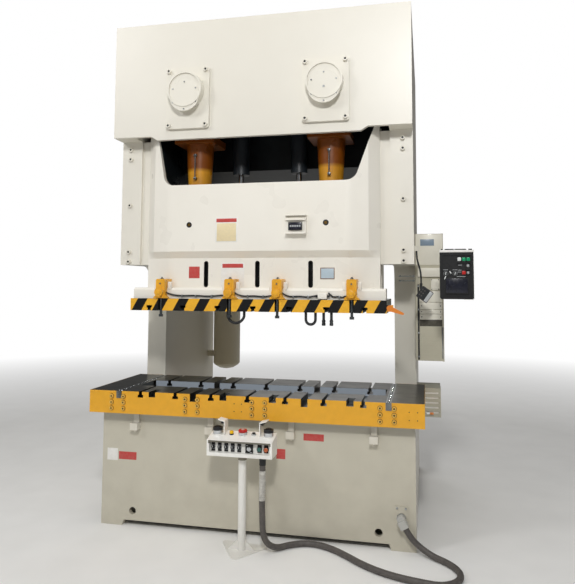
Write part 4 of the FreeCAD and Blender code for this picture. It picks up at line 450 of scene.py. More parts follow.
# Oily dirt and a painted shadow: dark brown round the bolster's screw heads.
screw_dirt_and_shadow = oily_enamel("oily_dirt_round_screw_heads", "#9A6A1E", "#6E4A16", 0.4, 0.01)
motor_blue = oily_enamel("blue_grey_motor_enamel", "#51697F", "#3E5163", 0.4)
balancer_black = oily_enamel("black_enamel_on_steel_tube", "#1C2125", "#2B3238", 0.35)
oxide = oily_enamel("black_oxide_on_screws", "#2A2B2D", "#1A1A1C", 0.38, 0.01)
hold_down_finish = oily_enamel("cream_enamel_on_clamp_blocks", "#E4DFD2", "#CFC8B8", 0.4)
print("paints:", rod_yellow.name, motor_blue.name, oxide.name)

# %% [markdown]
# ## Rubber and plastic
# Belts and hoses are rubber: nearly black, and so rough that they hardly gleam. The buttons
# are moulded ABS and nylon with a soft highlight. Their real grain is 0.3 mm wide and is drawn
# 2 mm wide.

# %% Rubbers and plastics
def moulded(name, shade, worn, rough, grain=0.002, depth=0.0001):
    """Rubber or plastic with a fine grain."""
    made, place, *_ = material(name)
    tone = mixed(speckle(place, 0.03, 0, 0.6), shade, worn)
    shader(tone, speckle(place, 0.02, rough - 0.05, rough + 0.08), speckle(place, grain, 0, 1),
           depth)
    return made


rubber = moulded("black_vulcanised_rubber", "#232426", "#2E3032", 0.62)
cable_sheath = moulded("grey_ribbed_pvc_conduit", "#4E4A47", "#68625D", 0.5)
cable_wrap = moulded("dirty_white_pvc_tape", "#C9C6BE", "#8F8C85", 0.45, 0.012, 0.002)
black_nylon = moulded("moulded_black_nylon", "#17181A", "#222426", 0.42)
pendant_black = moulded("moulded_black_abs", "#1E2022", "#2B2E31", 0.38)
red_abs = moulded("moulded_red_abs", "#C8241F", "#A61B18", 0.3)
grey_abs = moulded("moulded_light_grey_abs", "#B9BCBD", "#A3A6A8", 0.35)
amber_lens = moulded("amber_acrylic_lens", "#F2C21E", "#E0A616", 0.15)
green_lens = moulded("green_acrylic_lens", "#16A06A", "#128A5A", 0.18)
dull_green_lens = moulded("dull_green_acrylic_lens", "#41706A", "#365E58", 0.3)
orange_lens = moulded("orange_acrylic_lens", "#C4663C", "#A95632", 0.25)
white_lens = moulded("white_acrylic_lens", "#E9ECEA", "#DADDDB", 0.2)
overlay_black = moulded("black_screen_printed_overlay", "#08090B", "#0E0F12", 0.6)
gland_finish, place, x, *_ = material("black_nylon_gland_and_cast_zinc_elbow")
elbow = between(x, 1, 1.4)  # the second gland, on the bed
shader(mixed(elbow, "#17181A", "#B9B8B2"), 0.42, speckle(place, 0.003, 0, 1), 0.0001)
screen_glass = moulded("dark_display_glass", "#1C1D26", "#262836", 0.22, 0.2, 0)
print("plastics:", rubber.name, black_nylon.name, screen_glass.name)

# %% [markdown]
# ## Dressing the CAD parts
# Every CAD part keeps its shape and gets its finish in its own material slot. A star in a name
# stands for left and right, or for a number.

# %% Finish for every CAD part
finishes = {
    machine_enamel: "crank_covers frame_screws",
    guard_enamel: "flywheel_guard",
    frame_enamel: "side_frame_*",
    bed_shaded_enamel: "bed_frame",
    crown_enamel: "crown_housing",
    slide_enamel: "slide_body stroke_counter",
    console_enamel: "console_box console_stand",
    cabinet_enamel: "control_cabinet cabinet_door",
    louvre_enamel: "louvred_box",
    receiver_enamel: "air_receiver",
    gib_finish: "slide_gibs",
    ground_steel: "bolster_brackets lifter_rail_*",
    gear_steel: "crankshaft_* crank_pin_* pinion_shaft main_gear_*",
    chrome: "balancer_rods",
    worn_chrome: "clamp_rods",
    bronze: "crank_bearings adjusting_nut_*",
    cast_iron: "flywheel motor_pulley",
    bolster_finish: "bolster_plate",
    stripe_finish: "die_plate",
    rod_yellow: "con_rod_*",
    clamp_yellow: "die_clamps",
    lever_orange: "side_lever",
    motor_blue: "drive_motor",
    balancer_black: "balancer_cylinders",
    zinc: "panel_arm",
    bolt_yellow_highlit: "bolster_screws",
    hold_down_finish: "hold_down_clamps",
    rubber: "drive_belts",
    gland_finish: "cable_glands",
    overlay_black: "panel_box",
    black_nylon: "palm_button_* reset_button selector_*",
    pendant_black: "hand_pendant",
    red_abs: "stop_button",
}
dressed = set()
for finish, patterns in finishes.items():
    for pattern in patterns.split():
        stem = pattern.rstrip("*")
        for thing in bpy.data.objects:
            if thing.name == pattern or stem != pattern and thing.name.startswith(stem):
                for part_slot in thing.material_slots:
                    part_slot.material = finish
                dressed.add(thing.name)
print("dressed", len(dressed), "of", len(frame["nodes"]), "CAD parts")

# %% [markdown]
# ## The cords
# A cable hangs from its gland, meets the floor and lies where it was dropped. Its centreline
# is one smooth NURBS curve that passes near the points listed here: down from the console,
# over the floor in slow turns, and up into the elbow on the bed. A round bevel thickens it.

# %% A smooth cord from its route
def smooth_curve(name, route, radius, finish, body, round_steps=6):
    """A NURBS curve with a round section that rides on a body."""
    made = bpy.data.curves.new(name, "CURVE")
    made.dimensions = "3D"
    made.bevel_depth = 1  # times each point's own radius
    made.bevel_resolution = round_steps
    made.use_fill_caps = True
    made.resolution_u = 10
    line = made.splines.new("NURBS")
    line.points.add(len(route) - 1)
    for point, spot in zip(line.points, route):
        point.co, point.radius = (*spot, 1), radius
    line.order_u = 3
    line.use_endpoint_u = True
    made.materials.append(finish)
    thing = show(name, made)
    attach(thing, body)
    return thing


def spots_along(thing):
    """Points along a curve's centreline, read from its own spline."""
    kept = thing.data.bevel_depth
    thing.data.bevel_depth = 0
    line = bpy.data.meshes.new_from_object(thing)
    thing.data.bevel_depth = kept
    return [vertex.co.copy() for vertex in line.vertices]


def total_length(spots):
    """The length of a line of spots."""
    return sum((b - a).length for a, b in zip(spots, spots[1:]))


main_route = [(0.178, -0.64, 0.646), (0.178, -0.64, 0.52), (0.174, -0.637, 0.392),
              (0.177, -0.634, 0.266), (0.181, -0.631, 0.15), (0.206, -0.603, 0.072),
              (0.262, -0.545, 0.023), (0.348, -0.462, 0.023), (0.452, -0.41, 0.023),
              (0.566, -0.417, 0.023), (0.68, -0.474, 0.023), (0.79, -0.56, 0.023),
              (0.906, -0.664, 0.023), (1.04, -0.75, 0.023), (1.18, -0.806, 0.023),
              (1.312, -0.838, 0.023), (1.44, -0.86, 0.023), (1.54, -0.8, 0.023),
              (1.582, -0.695, 0.023), (1.552, -0.588, 0.023), (1.485, -0.505, 0.023),
              (1.395, -0.44, 0.026), (1.304, -0.4, 0.065), (1.236, -0.404, 0.1287),
              (1.198, -0.404, 0.1945)]
main_cable = smooth_curve("console_cable", main_route, 0.0215, cable_sheath, "root", 8)
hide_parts("main_cable")
main_spots = spots_along(main_cable)

# %% [markdown]
# Two hoses of the die clamps hang in loops below the striped plate, stiff with their own
# pressure ply. They leave the plate straight down, turn at the bottom and come back up.

# %% Hanging hoses
HOSE_RADIUS, HOSE_Y = 0.011, -0.277
loop_routes = {
    "clamp_hose_left": [(-0.225, -0.277, 1.75), (-0.225, -0.277, 1.7375),
                        (-0.225, -0.278, 1.7023), (-0.1983, -0.279, 1.6655),
                        (-0.155, -0.278, 1.6514), (-0.1117, -0.279, 1.6655),
                        (-0.085, -0.278, 1.7023), (-0.085, -0.277, 1.7261),
                        (-0.085, -0.277, 1.75)],
    "clamp_hose_right": [(0.428, -0.277, 1.75), (0.428, -0.277, 1.7215),
                         (0.428, -0.278, 1.6803), (0.4429, -0.279, 1.6598),
                         (0.467, -0.278, 1.652), (0.4911, -0.279, 1.6598),
                         (0.506, -0.278, 1.6803), (0.506, -0.277, 1.7152),
                         (0.506, -0.277, 1.75)]}
for name, route in loop_routes.items():
    hose = smooth_curve(name, route, HOSE_RADIUS, rubber, "slide")
    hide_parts("slide_hoses")
    length = total_length(spots_along(hose))
    print(name, round(length, 3), "m")

# %% [markdown]
# The pendant hangs by its cord from a hook on the right side frame. The cord carries the
# pendant's weight, so it is nearly straight and only leans from the hook to the boot.

# %% Pendant cord
pendant_route = [(1.296, 0, 2.248), (1.296, 0, 2.2033), (1.307, -0.001, 2.1481),
                 (1.325, -0.002, 2.0902), (1.33, 0, 2.0323), (1.33, 0, 1.985)]
pendant_cord = smooth_curve("pendant_cord", pendant_route, 0.007, rubber, "root")
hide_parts("pendant_cable")
pendant_length = total_length(spots_along(pendant_cord))
print("pendant cord:", round(pendant_length, 3), "m")

# %% [markdown]
# ## Drawing small solids
# The small pieces are drawn face by face. A block is eight corners with its edges eased, as a
# sheared or milled piece has them. A turned form is an outline of radii and distances that is
# swung round an axis, as on a lathe. All of them add to one form, called drawn, until it is
# made a piece, which gets its finishes and rides on a body of the press.

# %% Blocks, turned forms and pieces
drawn = bmesh.new()
# Bevels give their faces in another order each run, so a finished form is sorted along this.
SORTING = Vector((1, 0.6173, 0.3821))


def block(low, high, ease=0.002, finish=0):
    """A box between two corners with eased edges."""
    known = set(drawn.faces)
    corners = bmesh.ops.create_cube(drawn, size=1)["verts"]
    for vertex in corners:
        vertex.co = [a + (part + 0.5) * (b - a) for a, part, b in zip(low, vertex.co, high)]
    edges = list(dict.fromkeys(edge for vertex in corners for edge in vertex.link_edges))
    bmesh.ops.bevel(drawn, geom=edges, offset=ease, segments=2, profile=0.5, affect="EDGES")
    for face in set(drawn.faces) - known:
        face.material_index = finish


def ring(centre, across, up, radius, steps):
    """Corners round a centre, in the plane of two directions."""
    angles = [2 * math.pi * step / steps for step in range(steps)]
    return [drawn.verts.new(centre + (across * math.cos(a) + up * math.sin(a)) * radius)
            for a in angles]


def skin(rings, steps, finish=0, closed=False):
    """Faces from ring to ring, and over the two ends unless the last ring joins the first."""
    for first, second in zip(rings, rings[1:] + rings[:1] if closed else rings[1:]):
        for step in range(steps):
            following = (step + 1) % steps
            corners = [first[step % len(first)], first[following % len(first)],
                       second[following % len(second)], second[step % len(second)]]
            corners = list(dict.fromkeys(corners))
            if len(corners) > 2:
                drawn.faces.new(corners).material_index = finish
    for end in (rings[0], rings[-1]):
        if len(end) > 1 and not closed:
            drawn.faces.new(end).material_index = finish


def turned(outline, centre, axis="Y", finish=0, steps=28):
    """A form turned on a lathe: (radius, distance) pairs along an axis from a centre.

    An outline that ends where it starts makes an open ring, without end faces.
    """
    ways = {"X": (Vector((0, 1, 0)), Vector((0, 0, 1)), Vector((1, 0, 0))),
            "Y": (Vector((0, 0, 1)), Vector((1, 0, 0)), Vector((0, 1, 0))),
            "Z": (Vector((1, 0, 0)), Vector((0, 1, 0)), Vector((0, 0, 1)))}
    across, up, along = ways[axis]
    closed = outline[0] == outline[-1]
    rings = []
    for radius, distance in outline[:-1] if closed else outline:
        middle = Vector(centre) + along * distance
        rings.append(ring(middle, across, up, radius, steps)
                     if radius > 1e-6 else [drawn.verts.new(middle)])
    skin(rings, steps, finish, closed)


def hoop(inner, outer, low, high, centre, axis="Y", finish=0, steps=28):
    """A ring with a square section."""
    turned([(inner, low), (outer, low), (outer, high), (inner, high), (inner, low)], centre, axis,
           finish, steps)


def disc(radius, thick, centre, finish=0, steps=28):
    """A flat disc that faces the front."""
    turned([(radius, 0), (radius, -thick), (0, -thick)], centre, "Y", finish, steps)


def knob(radius, side, top, depth, centre, finish=0, steps=28):
    """A disc that faces the front and narrows from its side to its top."""
    turned([(radius, 0), (radius, -side), (top, -depth), (0, -depth)], centre, "Y", finish, steps)


def rod(radius, start, end, centre, axis, finish=0, steps=28):
    """A plain round bar between two distances along an axis."""
    turned([(0, start), (radius, start), (radius, end), (0, end)], centre, axis, finish, steps)


def piece(name, finishes, body="root"):
    """Make the drawn form an object with its finishes, and start a new form."""
    global drawn
    bmesh.ops.recalc_face_normals(drawn, faces=drawn.faces)
    drawn.verts.sort(key=lambda vertex: vertex.co.dot(SORTING))
    drawn.faces.sort(key=lambda face: face.calc_center_median().dot(SORTING))
    mesh = bpy.data.meshes.new(name)
    drawn.to_mesh(mesh)
    drawn.free()
    for finish in finishes:
        mesh.materials.append(finish)
    mesh.shade_smooth()
    mesh.set_sharp_from_angle(angle=math.radians(32))
    thing = show(name, mesh)
    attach(thing, body)
    drawn = bmesh.new()
    return thing

# %% [markdown]
# ## Ribs and tape on the console cable
# The cable runs in a ribbed conduit. The real ribs repeat every 4 mm; here they stand 13 mm
# apart, so that they show. Below the gland the conduit is wrapped by hand with white tape, gone
# dirty, in uneven turns. Both follow the cable's own centreline.

# %% Conduit ribs and tape
def frame_along(spots, number):
    """Two directions square to a line of spots at one of them."""
    ahead = (spots[min(number + 1, len(spots) - 1)] - spots[max(number - 1, 0)]).normalized()
    side = ahead.cross(Vector((0.3, 1, 0.1))).normalized()
    return side, ahead.cross(side)


def evenly(spots, spacing):
    """Spots a fixed distance apart along a line of spots."""
    made, left = [spots[0].copy()], spacing
    for first, second in zip(spots, spots[1:]):
        length = (second - first).length
        while length >= left:
            first = first + (second - first) * (left / length)
            made.append(first.copy())
            length -= left
            left = spacing
        left -= length
    return made


def sleeve(spots, radii, steps=14):
    """A skin of rings round a line of spots, one radius for each."""
    skin([ring(spot, *frame_along(spots, number), radius, steps) for number,
          (spot, radius) in enumerate(zip(spots, radii))], steps)


RIB_STEP = 0.00325  # four steps make one rib
rib_spots = evenly(main_spots, RIB_STEP)
rib_radii = [(0.0214, 0.0226, 0.0226, 0.0214)[number % 4] for number in range(len(rib_spots))]
sleeve(rib_spots[2:-2], rib_radii[2:-2])
cable_ribs = piece("cable_ribs", [cable_sheath])
TAPE_LOW, TAPE_TOP = 0.392, 0.608
tape_spots = [spot for spot in evenly(main_spots, 0.004) if TAPE_LOW < spot.z < TAPE_TOP]
tape_radii = [0.0245 + 0.0016 * math.sin(number * 1.3) + 0.001 * math.sin(number * 0.37)
              for number in range(len(tape_spots))]
sleeve(tape_spots, tape_radii, 18)
cable_tape = piece("cable_tape", [cable_wrap])
print("ribs:", len(rib_spots) // 4, "tape rings:", len(tape_spots))

# %% [markdown]
# ## Crown: crank covers
# Behind each ring boss a disc closes the crank bearing. It sits in the boss with a narrow step
# and is held by six small screws; the right one has a plug in its middle.

# %% Discs in the crank covers
ROD_X, CRANK_Z = 0.591, 3.5455  # the connecting rods, and the axis of the cranks
for name, x in (("left", -ROD_X), ("right", ROD_X)):
    knob(0.133, 0.003, 0.13, 0.005, (x, -0.393, CRANK_Z), steps=64)
    for number in range(6):
        angle = math.radians(30 + 60 * number)
        spot = (x + 0.116 * math.cos(angle), -0.398, CRANK_Z + 0.116 * math.sin(angle))
        turned([(0.0065, 0), (0.0065, -0.004), (0.005, -0.0055), (0.003, -0.0055), (0.003, -0.003),
                (0, -0.003)], spot, finish=1, steps=14)
    if name == "right":
        knob(0.009, 0.004, 0.007, 0.006, (x, -0.398, CRANK_Z), 1, 20)
    piece(f"cover_disc_{name}", [machine_enamel, zinc])
print("covers: two discs with six screws each")

# %% [markdown]
# ## Screws
# Every socket screw has a washer under its head and a hexagon hole in it. The holes are in the
# CAD; a thin black cup at the bottom of each keeps it dark, as shadow and oil do in a real one.

# %% Washers and sockets
SOCKET, SUNK = 0.0105, 0.0115  # a socket's radius, and how far it lies before the washer


def cup(spot, radius, finish=0):
    """The dark bottom of a hexagon socket, facing the front: painted shade and oil."""
    disc(radius, 0.0012, spot, finish, 6)


def washers(columns, rows, y, radius, thick=0.003, sunk=SUNK, steps=28):
    """Washers where columns cross rows, each with the dark cup of its screw before it."""
    for x in columns:
        for z in rows:
            disc(radius, thick, (x, y, z), 0, steps)
            cup((x, y - sunk, z), SOCKET, 1)
    return len(columns) * len(rows)


def pairs(middles, half):
    """The places half a distance to the left and right of each middle."""
    return [middle + way for middle in middles for way in (-half, half)]


count = washers((-1.196, 1.196), (2.165, 2.251, 2.6645, 3.078, 3.164), -0.127, 0.024)
count += washers(pairs((-ROD_X, ROD_X), 0.1645), (3.311, 3.78), -0.325, 0.023)
piece("screw_washers", [machine_enamel, black_nylon])
# The bolster's washers are dark brown: oily dirt, and a painted shadow round each head.
count += washers(pairs((-1.1, -0.463, 0.088, 1.076), 0.052), (1.058, 1.01, 0.961), -0.45, 0.0195,
                 0.002, 0.0058, 24)
piece("bolster_screw_washers", [screw_dirt_and_shadow, black_nylon])
# The tapped holes in the bolster's rim get black cups too, in the black nylon material: painted
# shade in the holes.
for left, low in ((-0.107, 0.981), (1.237, 0.979)):
    for x in (left, left + 0.06):
        for z in (low, low + 0.059):
            cup((x, -0.4498, z), 0.0045)
piece("bolster_tapped_holes", [black_nylon])
print("screws: washers on", count)

# %% [markdown]
# ## Plates and fields on the slide
# The plates on the slide stay plain: glued aluminium sheets, 1 mm thick, with a coloured band
# or field and no lettering.

# %% Plain plates
def printed(name, shade):
    """A screen-printed aluminium sheet: flat colour with a dull gleam."""
    made, place, *_ = material(name)
    tone = mixed(speckle(place, 0.02, 0, 0.12, 4), shade, "#A8A294")
    shader(tone, speckle(place, 0.03, 0.3, 0.42), speckle(place, 0.006, 0, 1), 0.00005)
    return made


field_white = printed("white_print_on_aluminium", "#EFEDE8")
field_red = printed("red_print_on_aluminium", "#C4423E")
field_cream = printed("cream_print_on_aluminium", "#EAD9AF")
field_blue = printed("pale_blue_print_on_aluminium", "#B4C6D2")
field_slate = printed("slate_blue_print_on_aluminium", "#8195A8")
field_brown = printed("brown_print_on_aluminium", "#7A5A48")
# Painted shade: the pole's collar under the console is a dark grey.
collar_shade_grey = printed("stained_grey_paint_on_collar", "#857F6F")
# Painted shadow: a dark strip for the gap under the door's vent strips.
seam_shadow = printed("dark_rubber_seal_strip", "#4A473C")
brass = machined("turned_brass", "#9A7A42", "#6E5630", 0.35, (200, 3, 200))


def plate(x1, z1, x2, z2, y, finish):
    """A sheet 1 mm thick whose back lies at a depth y."""
    block((x1, y - 0.001, z1), (x2, y, z2), 0.0003, finish)


FACE, LOW_FACE = -0.255, -0.195  # Y of the slide's front, and of its lower part
plate(-0.35, 2.32, -0.157, 2.525, FACE, 0)
plate(-0.342, 2.487, -0.165, 2.518, FACE - 0.001, 1)
plate(-0.338, 2.328, -0.169, 2.478, FACE - 0.001, 2)
plate(-0.315, 1.951, -0.113, 2.149, LOW_FACE, 0)
plate(-0.305, 2.108, -0.123, 2.142, LOW_FACE - 0.001, 1)
plate(-0.604, 2.02, -0.507, 2.119, LOW_FACE, 1)
plate(0.53, 2.014, 0.648, 2.108, LOW_FACE, 4)
plate(0.537, 2.021, 0.641, 2.101, LOW_FACE - 0.001, 3)
piece("slide_plates", [field_white, field_red, field_cream, field_blue, field_brown], "slide")

for x in (-0.585, 0.585):
    turned([(0.0235, 0.01), (0.0235, -0.001), (0.021, -0.003), (0, -0.003)], (x, FACE, 2.47),
           steps=32)
    turned([(0.013, -0.003), (0.013, -0.0045), (0, -0.0045)], (x, FACE, 2.47), steps=24, finish=1)
piece("oil_level_plugs", [oxide, brass], "slide")
print("slide: plates and plugs")

# %% [markdown]
# ## The die-height counter
# Under the hood, number drums show the die height. The black frame holds a window with five
# light drums, a small gap apart, and no numbers are drawn.

# %% Counter window
block((0.287, -0.31, 2.408), (0.401, -0.3065, 2.472), 0.001)
block((0.293, -0.3125, 2.413), (0.395, -0.309, 2.467), 0.001, 1)
for number in range(5):
    x = 0.3015 + 0.0185 * number
    rod(0.0125, 0, 0.013, (x, -0.3025, 2.44), "X", 2, 24)
block((0.255, -0.32, 2.525), (0.433, -0.256, 2.533), 0.002, 3)
piece("counter_window", [black_nylon, screen_glass, grey_abs, slide_enamel], "slide")
print("counter: five drums")

# %% [markdown]
# ## Wiring along the ledge
# Each die clamp has a sensor. Its black wire leaves the clamp's foot, sags between the clips on
# the ledge and ends in a small cast box.

# %% Clamp wiring, clips and junction box
LEDGE_Y = -0.285
stretches = ((-0.765, -0.26), (-0.165, 0.165), (0.235, 0.52), (0.613, 0.765))
for number, (start, end) in enumerate(stretches):
    quarter = (end - start) / 4
    route = [(start, LEDGE_Y - 0.012, 1.905), (start + 0.02, LEDGE_Y - 0.014, 1.888),
             (start + quarter, LEDGE_Y - 0.012, 1.872),
             (start + 2 * quarter, LEDGE_Y - 0.013, 1.878),
             (end - quarter, LEDGE_Y - 0.012, 1.869), (end - 0.02, LEDGE_Y - 0.014, 1.88),
             (end, LEDGE_Y - 0.012, 1.88)]
    smooth_curve(f"ledge_wire_{number + 1}", route, 0.006, rubber, "slide")
block((0.53, LEDGE_Y - 0.034, 1.857), (0.603, LEDGE_Y, 1.902), 0.004)
for x, way in ((0.53, -1), (0.603, 1)):
    turned([(0.01, 0), (0.01, 0.014 * way), (0.007, 0.022 * way), (0, 0.022 * way)],
           (x, LEDGE_Y - 0.016, 1.88), "X", 1, 20)
for x in (-0.62, -0.5, -0.36, -0.05, 0.08, 0.33, 0.45, 0.7):
    block((x - 0.007, LEDGE_Y - 0.02, 1.862), (x + 0.007, LEDGE_Y, 1.884), 0.002, 2)
piece("ledge_box_and_clips", [slide_enamel, black_nylon, zinc], "slide")

for x in (-0.8, -0.2, 0.2, 0.8):
    block((x - 0.075, -0.288, 1.925), (x - 0.046, -0.262, 1.99))
    block((x + 0.046, -0.288, 1.925), (x + 0.075, -0.262, 1.99))
    turned([(0.016, 0), (0.016, 0.006), (0.0095, 0.006), (0.0095, 0.017), (0, 0.017)],
           (x, -0.3, 2.013), "Z", 1, 6)
    turned([(0.024, 0), (0.024, -0.004), (0.015, -0.006), (0.015, -0.011), (0, -0.011)],
           (x, -0.375, 1.903), "Y", 2, 24)
    disc(0.0075, 0.006, (x, -0.335, 1.975), 1, 6)
piece("clamp_fittings", [slide_enamel, zinc, clamp_yellow], "slide")
print("ledge: 4 wires, 8 clips, 4 sets of fittings")

# %% [markdown]
# ## Connecting rods: the height scales
# A chrome tube with a scale stands on the front of each rod and shows how far the slide is
# screwed out. Clamps hold it at both ends.

# %% Rod scales
for name, x in (("left", -ROD_X), ("right", ROD_X)):
    rod(0.0055, 2.88, 3.1, (x, -0.128, 0), "Z", 0, 16)
    for z in (2.88, 3.082):
        block((x - 0.012, -0.136, z), (x + 0.012, -0.1, z + 0.022), 0.002, 1)
    piece(f"rod_scale_{name}", [chrome, gear_steel], "suspension")
print("rods: two scales")

# %% [markdown]
# ## Lifter rails
# Steel balls stand in the two die-lifter rails and roll under a heavy die. Each one shows a
# fifth of its height above the rail.

# %% Balls in the rails
BALLS, BALL_RADIUS = 12, 0.011
ball = [(0, BALL_RADIUS)]
ball += [(BALL_RADIUS * math.sin(math.radians(a)), BALL_RADIUS * math.cos(math.radians(a)))
         for a in range(18, 100, 12)]
for side, x in (("left", -1.087), ("right", 1.087)):
    (_, front, _), (_, back, top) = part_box(f"lifter_rail_{side}")
    for number in range(BALLS):
        y = front + 0.045 + (back - front - 0.09) * number / (BALLS - 1)
        turned(ball, (x, y, top - 0.007), "Z", 0, 20)
    piece(f"lifter_balls_{side}", [chrome], f"lifter_{side}")
print("rails:", BALLS, "balls each")

# %% [markdown]
# ## Plain fields on the bed
# Four small sheets are glued to the bed's front: three red and one white. They stay plain.

# %% Bed fields
BED_Y = -0.344
plate(-1.132, 0.527, -0.975, 0.589, BED_Y, 1)
plate(-1.236, 0.515, -1.142, 0.612, BED_Y, 0)
plate(0.209, 0.612, 0.281, 0.688, BED_Y, 1)
plate(0.425, 0.764, 0.585, 0.817, BED_Y, 1)
piece("bed_plates", [field_white, field_red])
print("bed: four plain fields")

# %% [markdown]
# ## Two short hoses with plugs
# Beside the right loop two spare hose ends hang down. Each is 6 cm of hose with a steel plug
# crimped on, too short to bend.

# %% Plugged hose ends
for number, x in enumerate((0.572, 0.634)):
    rod(HOSE_RADIUS, 1.684, 1.75, (x, HOSE_Y, 0), "Z", 0, 24)
    turned([(0, 1.646), (0.0125, 1.646), (0.015, 1.649), (0.015, 1.664), (0.0135, 1.666),
            (0.0135, 1.676), (0.015, 1.678), (0.015, 1.687), (0.0125, 1.69), (0, 1.69)],
           (x, HOSE_Y, 0), "Z", 1, 24)
    stub = piece(f"plugged_hose_{number + 1}", [rubber, gear_steel], "slide")
    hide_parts("slide_hoses")
print("plugged hose ends: 2")

# %% [markdown]
# ## The console's controls
# Two palm buttons start the stroke, and both must be pressed at once. Their black heads stand
# in collars: a chrome foot and a black guard ring. A press moves the head down 8 mm, so the
# head's skirt is narrower than the ring. Between them are a lamp, the stop button and a reset.

# %% Top of the console
BUTTON_Y = -0.605
PALMS = (("left", -0.183), ("right", 0.213))
for _, x in PALMS:
    hoop(0.0297, 0.0362, 0.849, 0.874, (x, BUTTON_Y, 0), "Z", 0, 40)
    hoop(0.0297, 0.0372, 0.874, 0.8965, (x, BUTTON_Y, 0), "Z", 1, 40)
turned([(0.0165, 0.843), (0.0165, 0.853), (0, 0.853)], (-0.074, BUTTON_Y, 0), "Z", 1)
turned([(0.0152, 0.853), (0.0152, 0.866), (0.0125, 0.8715), (0.006, 0.874), (0, 0.8745)],
       (-0.074, BUTTON_Y, 0), "Z", 2)
hoop(0.0295, 0.0325, 0.848, 0.8605, (0.014, BUTTON_Y, 0), "Z", 0, 40)
hoop(0.0135, 0.0182, 0.849, 0.8575, (0.099, BUTTON_Y, 0), "Z", 0)
for left, right in ((-0.152, -0.128), (0.153, 0.177)):
    block((left, -0.6315, 0.925), (right, -0.56, 0.941), 0.006, 1)
# Painted shade: a dark grey collar round the pole, under the console.
hoop(0.0295, 0.0335, 0.662, 0.7065, (0.008, -0.59, 0), "Z", 3, 40)
piece("console_top_fittings", [chrome, black_nylon, amber_lens, collar_shade_grey])
for side, x in PALMS:
    turned([(0.0285, 0.874), (0.0285, 0.895), (0.0265, 0.9), (0.02, 0.9045), (0.01, 0.907),
            (0, 0.9075)], (x, BUTTON_Y, 0), "Z", 0, 40)
    piece(f"palm_dome_{side}", [overlay_black], f"palm_{side}")
turned([(0, 0.8875), (0.013, 0.8875), (0.013, 0.8887), (0, 0.8895)], (0.014, BUTTON_Y, 0), "Z")
piece("stop_button_mark", [white_lens], "stop")
print("console top: rings, lamp, hood pads, pole collar")

# %% [markdown]
# The front row sits in a recess: five rotary selectors on black legend plates, a key switch on
# a square black plate, and two lit buttons. A light bar on each grip shows where it points, so
# it turns with the grip.

# %% Front row
ROW_Y, ROW_Z = -0.662, 0.764
SELECTORS = [-0.197 + 0.0505 * number for number in range(5)]
for x in SELECTORS:
    block((x - 0.015, ROW_Y - 0.0025, 0.734), (x + 0.015, ROW_Y, 0.8035), 0.001)
for x, lens_finish in ((0.161, 2), (0.211, 3)):
    block((x - 0.0165, ROW_Y - 0.0025, 0.738), (x + 0.0165, ROW_Y, 0.8035), 0.001)
    hoop(0.0145, 0.0195, -0.012, 0, (x, ROW_Y, ROW_Z))
    turned([(0.0153, 0), (0.0153, -0.0165), (0.012, -0.0185), (0, -0.019)], (x, ROW_Y, ROW_Z), "Y",
           lens_finish)
block((0.0545, ROW_Y - 0.0125, 0.7335), (0.1115, ROW_Y, 0.8035))
knob(0.017, 0.004, 0.0145, 0.006, (0.083, ROW_Y - 0.0125, ROW_Z), 1, 36)
block((0.0805, ROW_Y - 0.024, 0.75), (0.0855, ROW_Y - 0.0125, 0.778), 0.001, 1)
block((0.06, ROW_Y - 0.0135, 0.786), (0.076, ROW_Y - 0.0125, 0.789), 0.0002, 4)
block((0.09, ROW_Y - 0.0135, 0.74), (0.106, ROW_Y - 0.0125, 0.743), 0.0002, 4)
piece("console_front_fittings", [overlay_black, chrome, dull_green_lens, orange_lens, white_lens])
for number, x in enumerate(SELECTORS, 1):
    block((x - 0.0015, -0.6838, ROW_Z - 0.001), (x + 0.0015, -0.6826, ROW_Z + 0.0145), 0.0003)
    hoop(0.016, 0.0176, -0.0012, 0, (x, -0.667, ROW_Z), "Y", 1, 36)
    piece(f"selector_mark_{number}", [white_lens, grey_abs], f"selector_{number}")
print("console front:", len(SELECTORS), "legend plates, key switch, 2 lit buttons")

# %% [markdown]
# ## The operator panel
# A steel case with a white lid carries a black printed front. On it are square lit buttons,
# round metal ones, two knobs, a key and the display. Everything turns with the panel.

# %% Panel front
def bar(start, end, width, y, thick, finish=0):
    """A flat bar between two (x, z) points, on a plane that faces the front."""
    (x1, z1), (x2, z2) = start, end
    length = math.hypot(x2 - x1, z2 - z1)
    across, up = (z1 - z2) / length * width / 2, (x2 - x1) / length * width / 2
    outline = [(x1 + across, z1 + up), (x2 + across, z2 + up), (x2 - across, z2 - up),
               (x1 - across, z1 - up)]
    back = [drawn.verts.new((x, y, z)) for x, z in outline]
    front = [drawn.verts.new((x, y - thick, z)) for x, z in outline]
    faces = [drawn.faces.new(back), drawn.faces.new(front)]
    faces += [drawn.faces.new((back[i], back[i - 1], front[i - 1], front[i])) for i in range(4)]
    for face in faces:
        face.material_index = finish


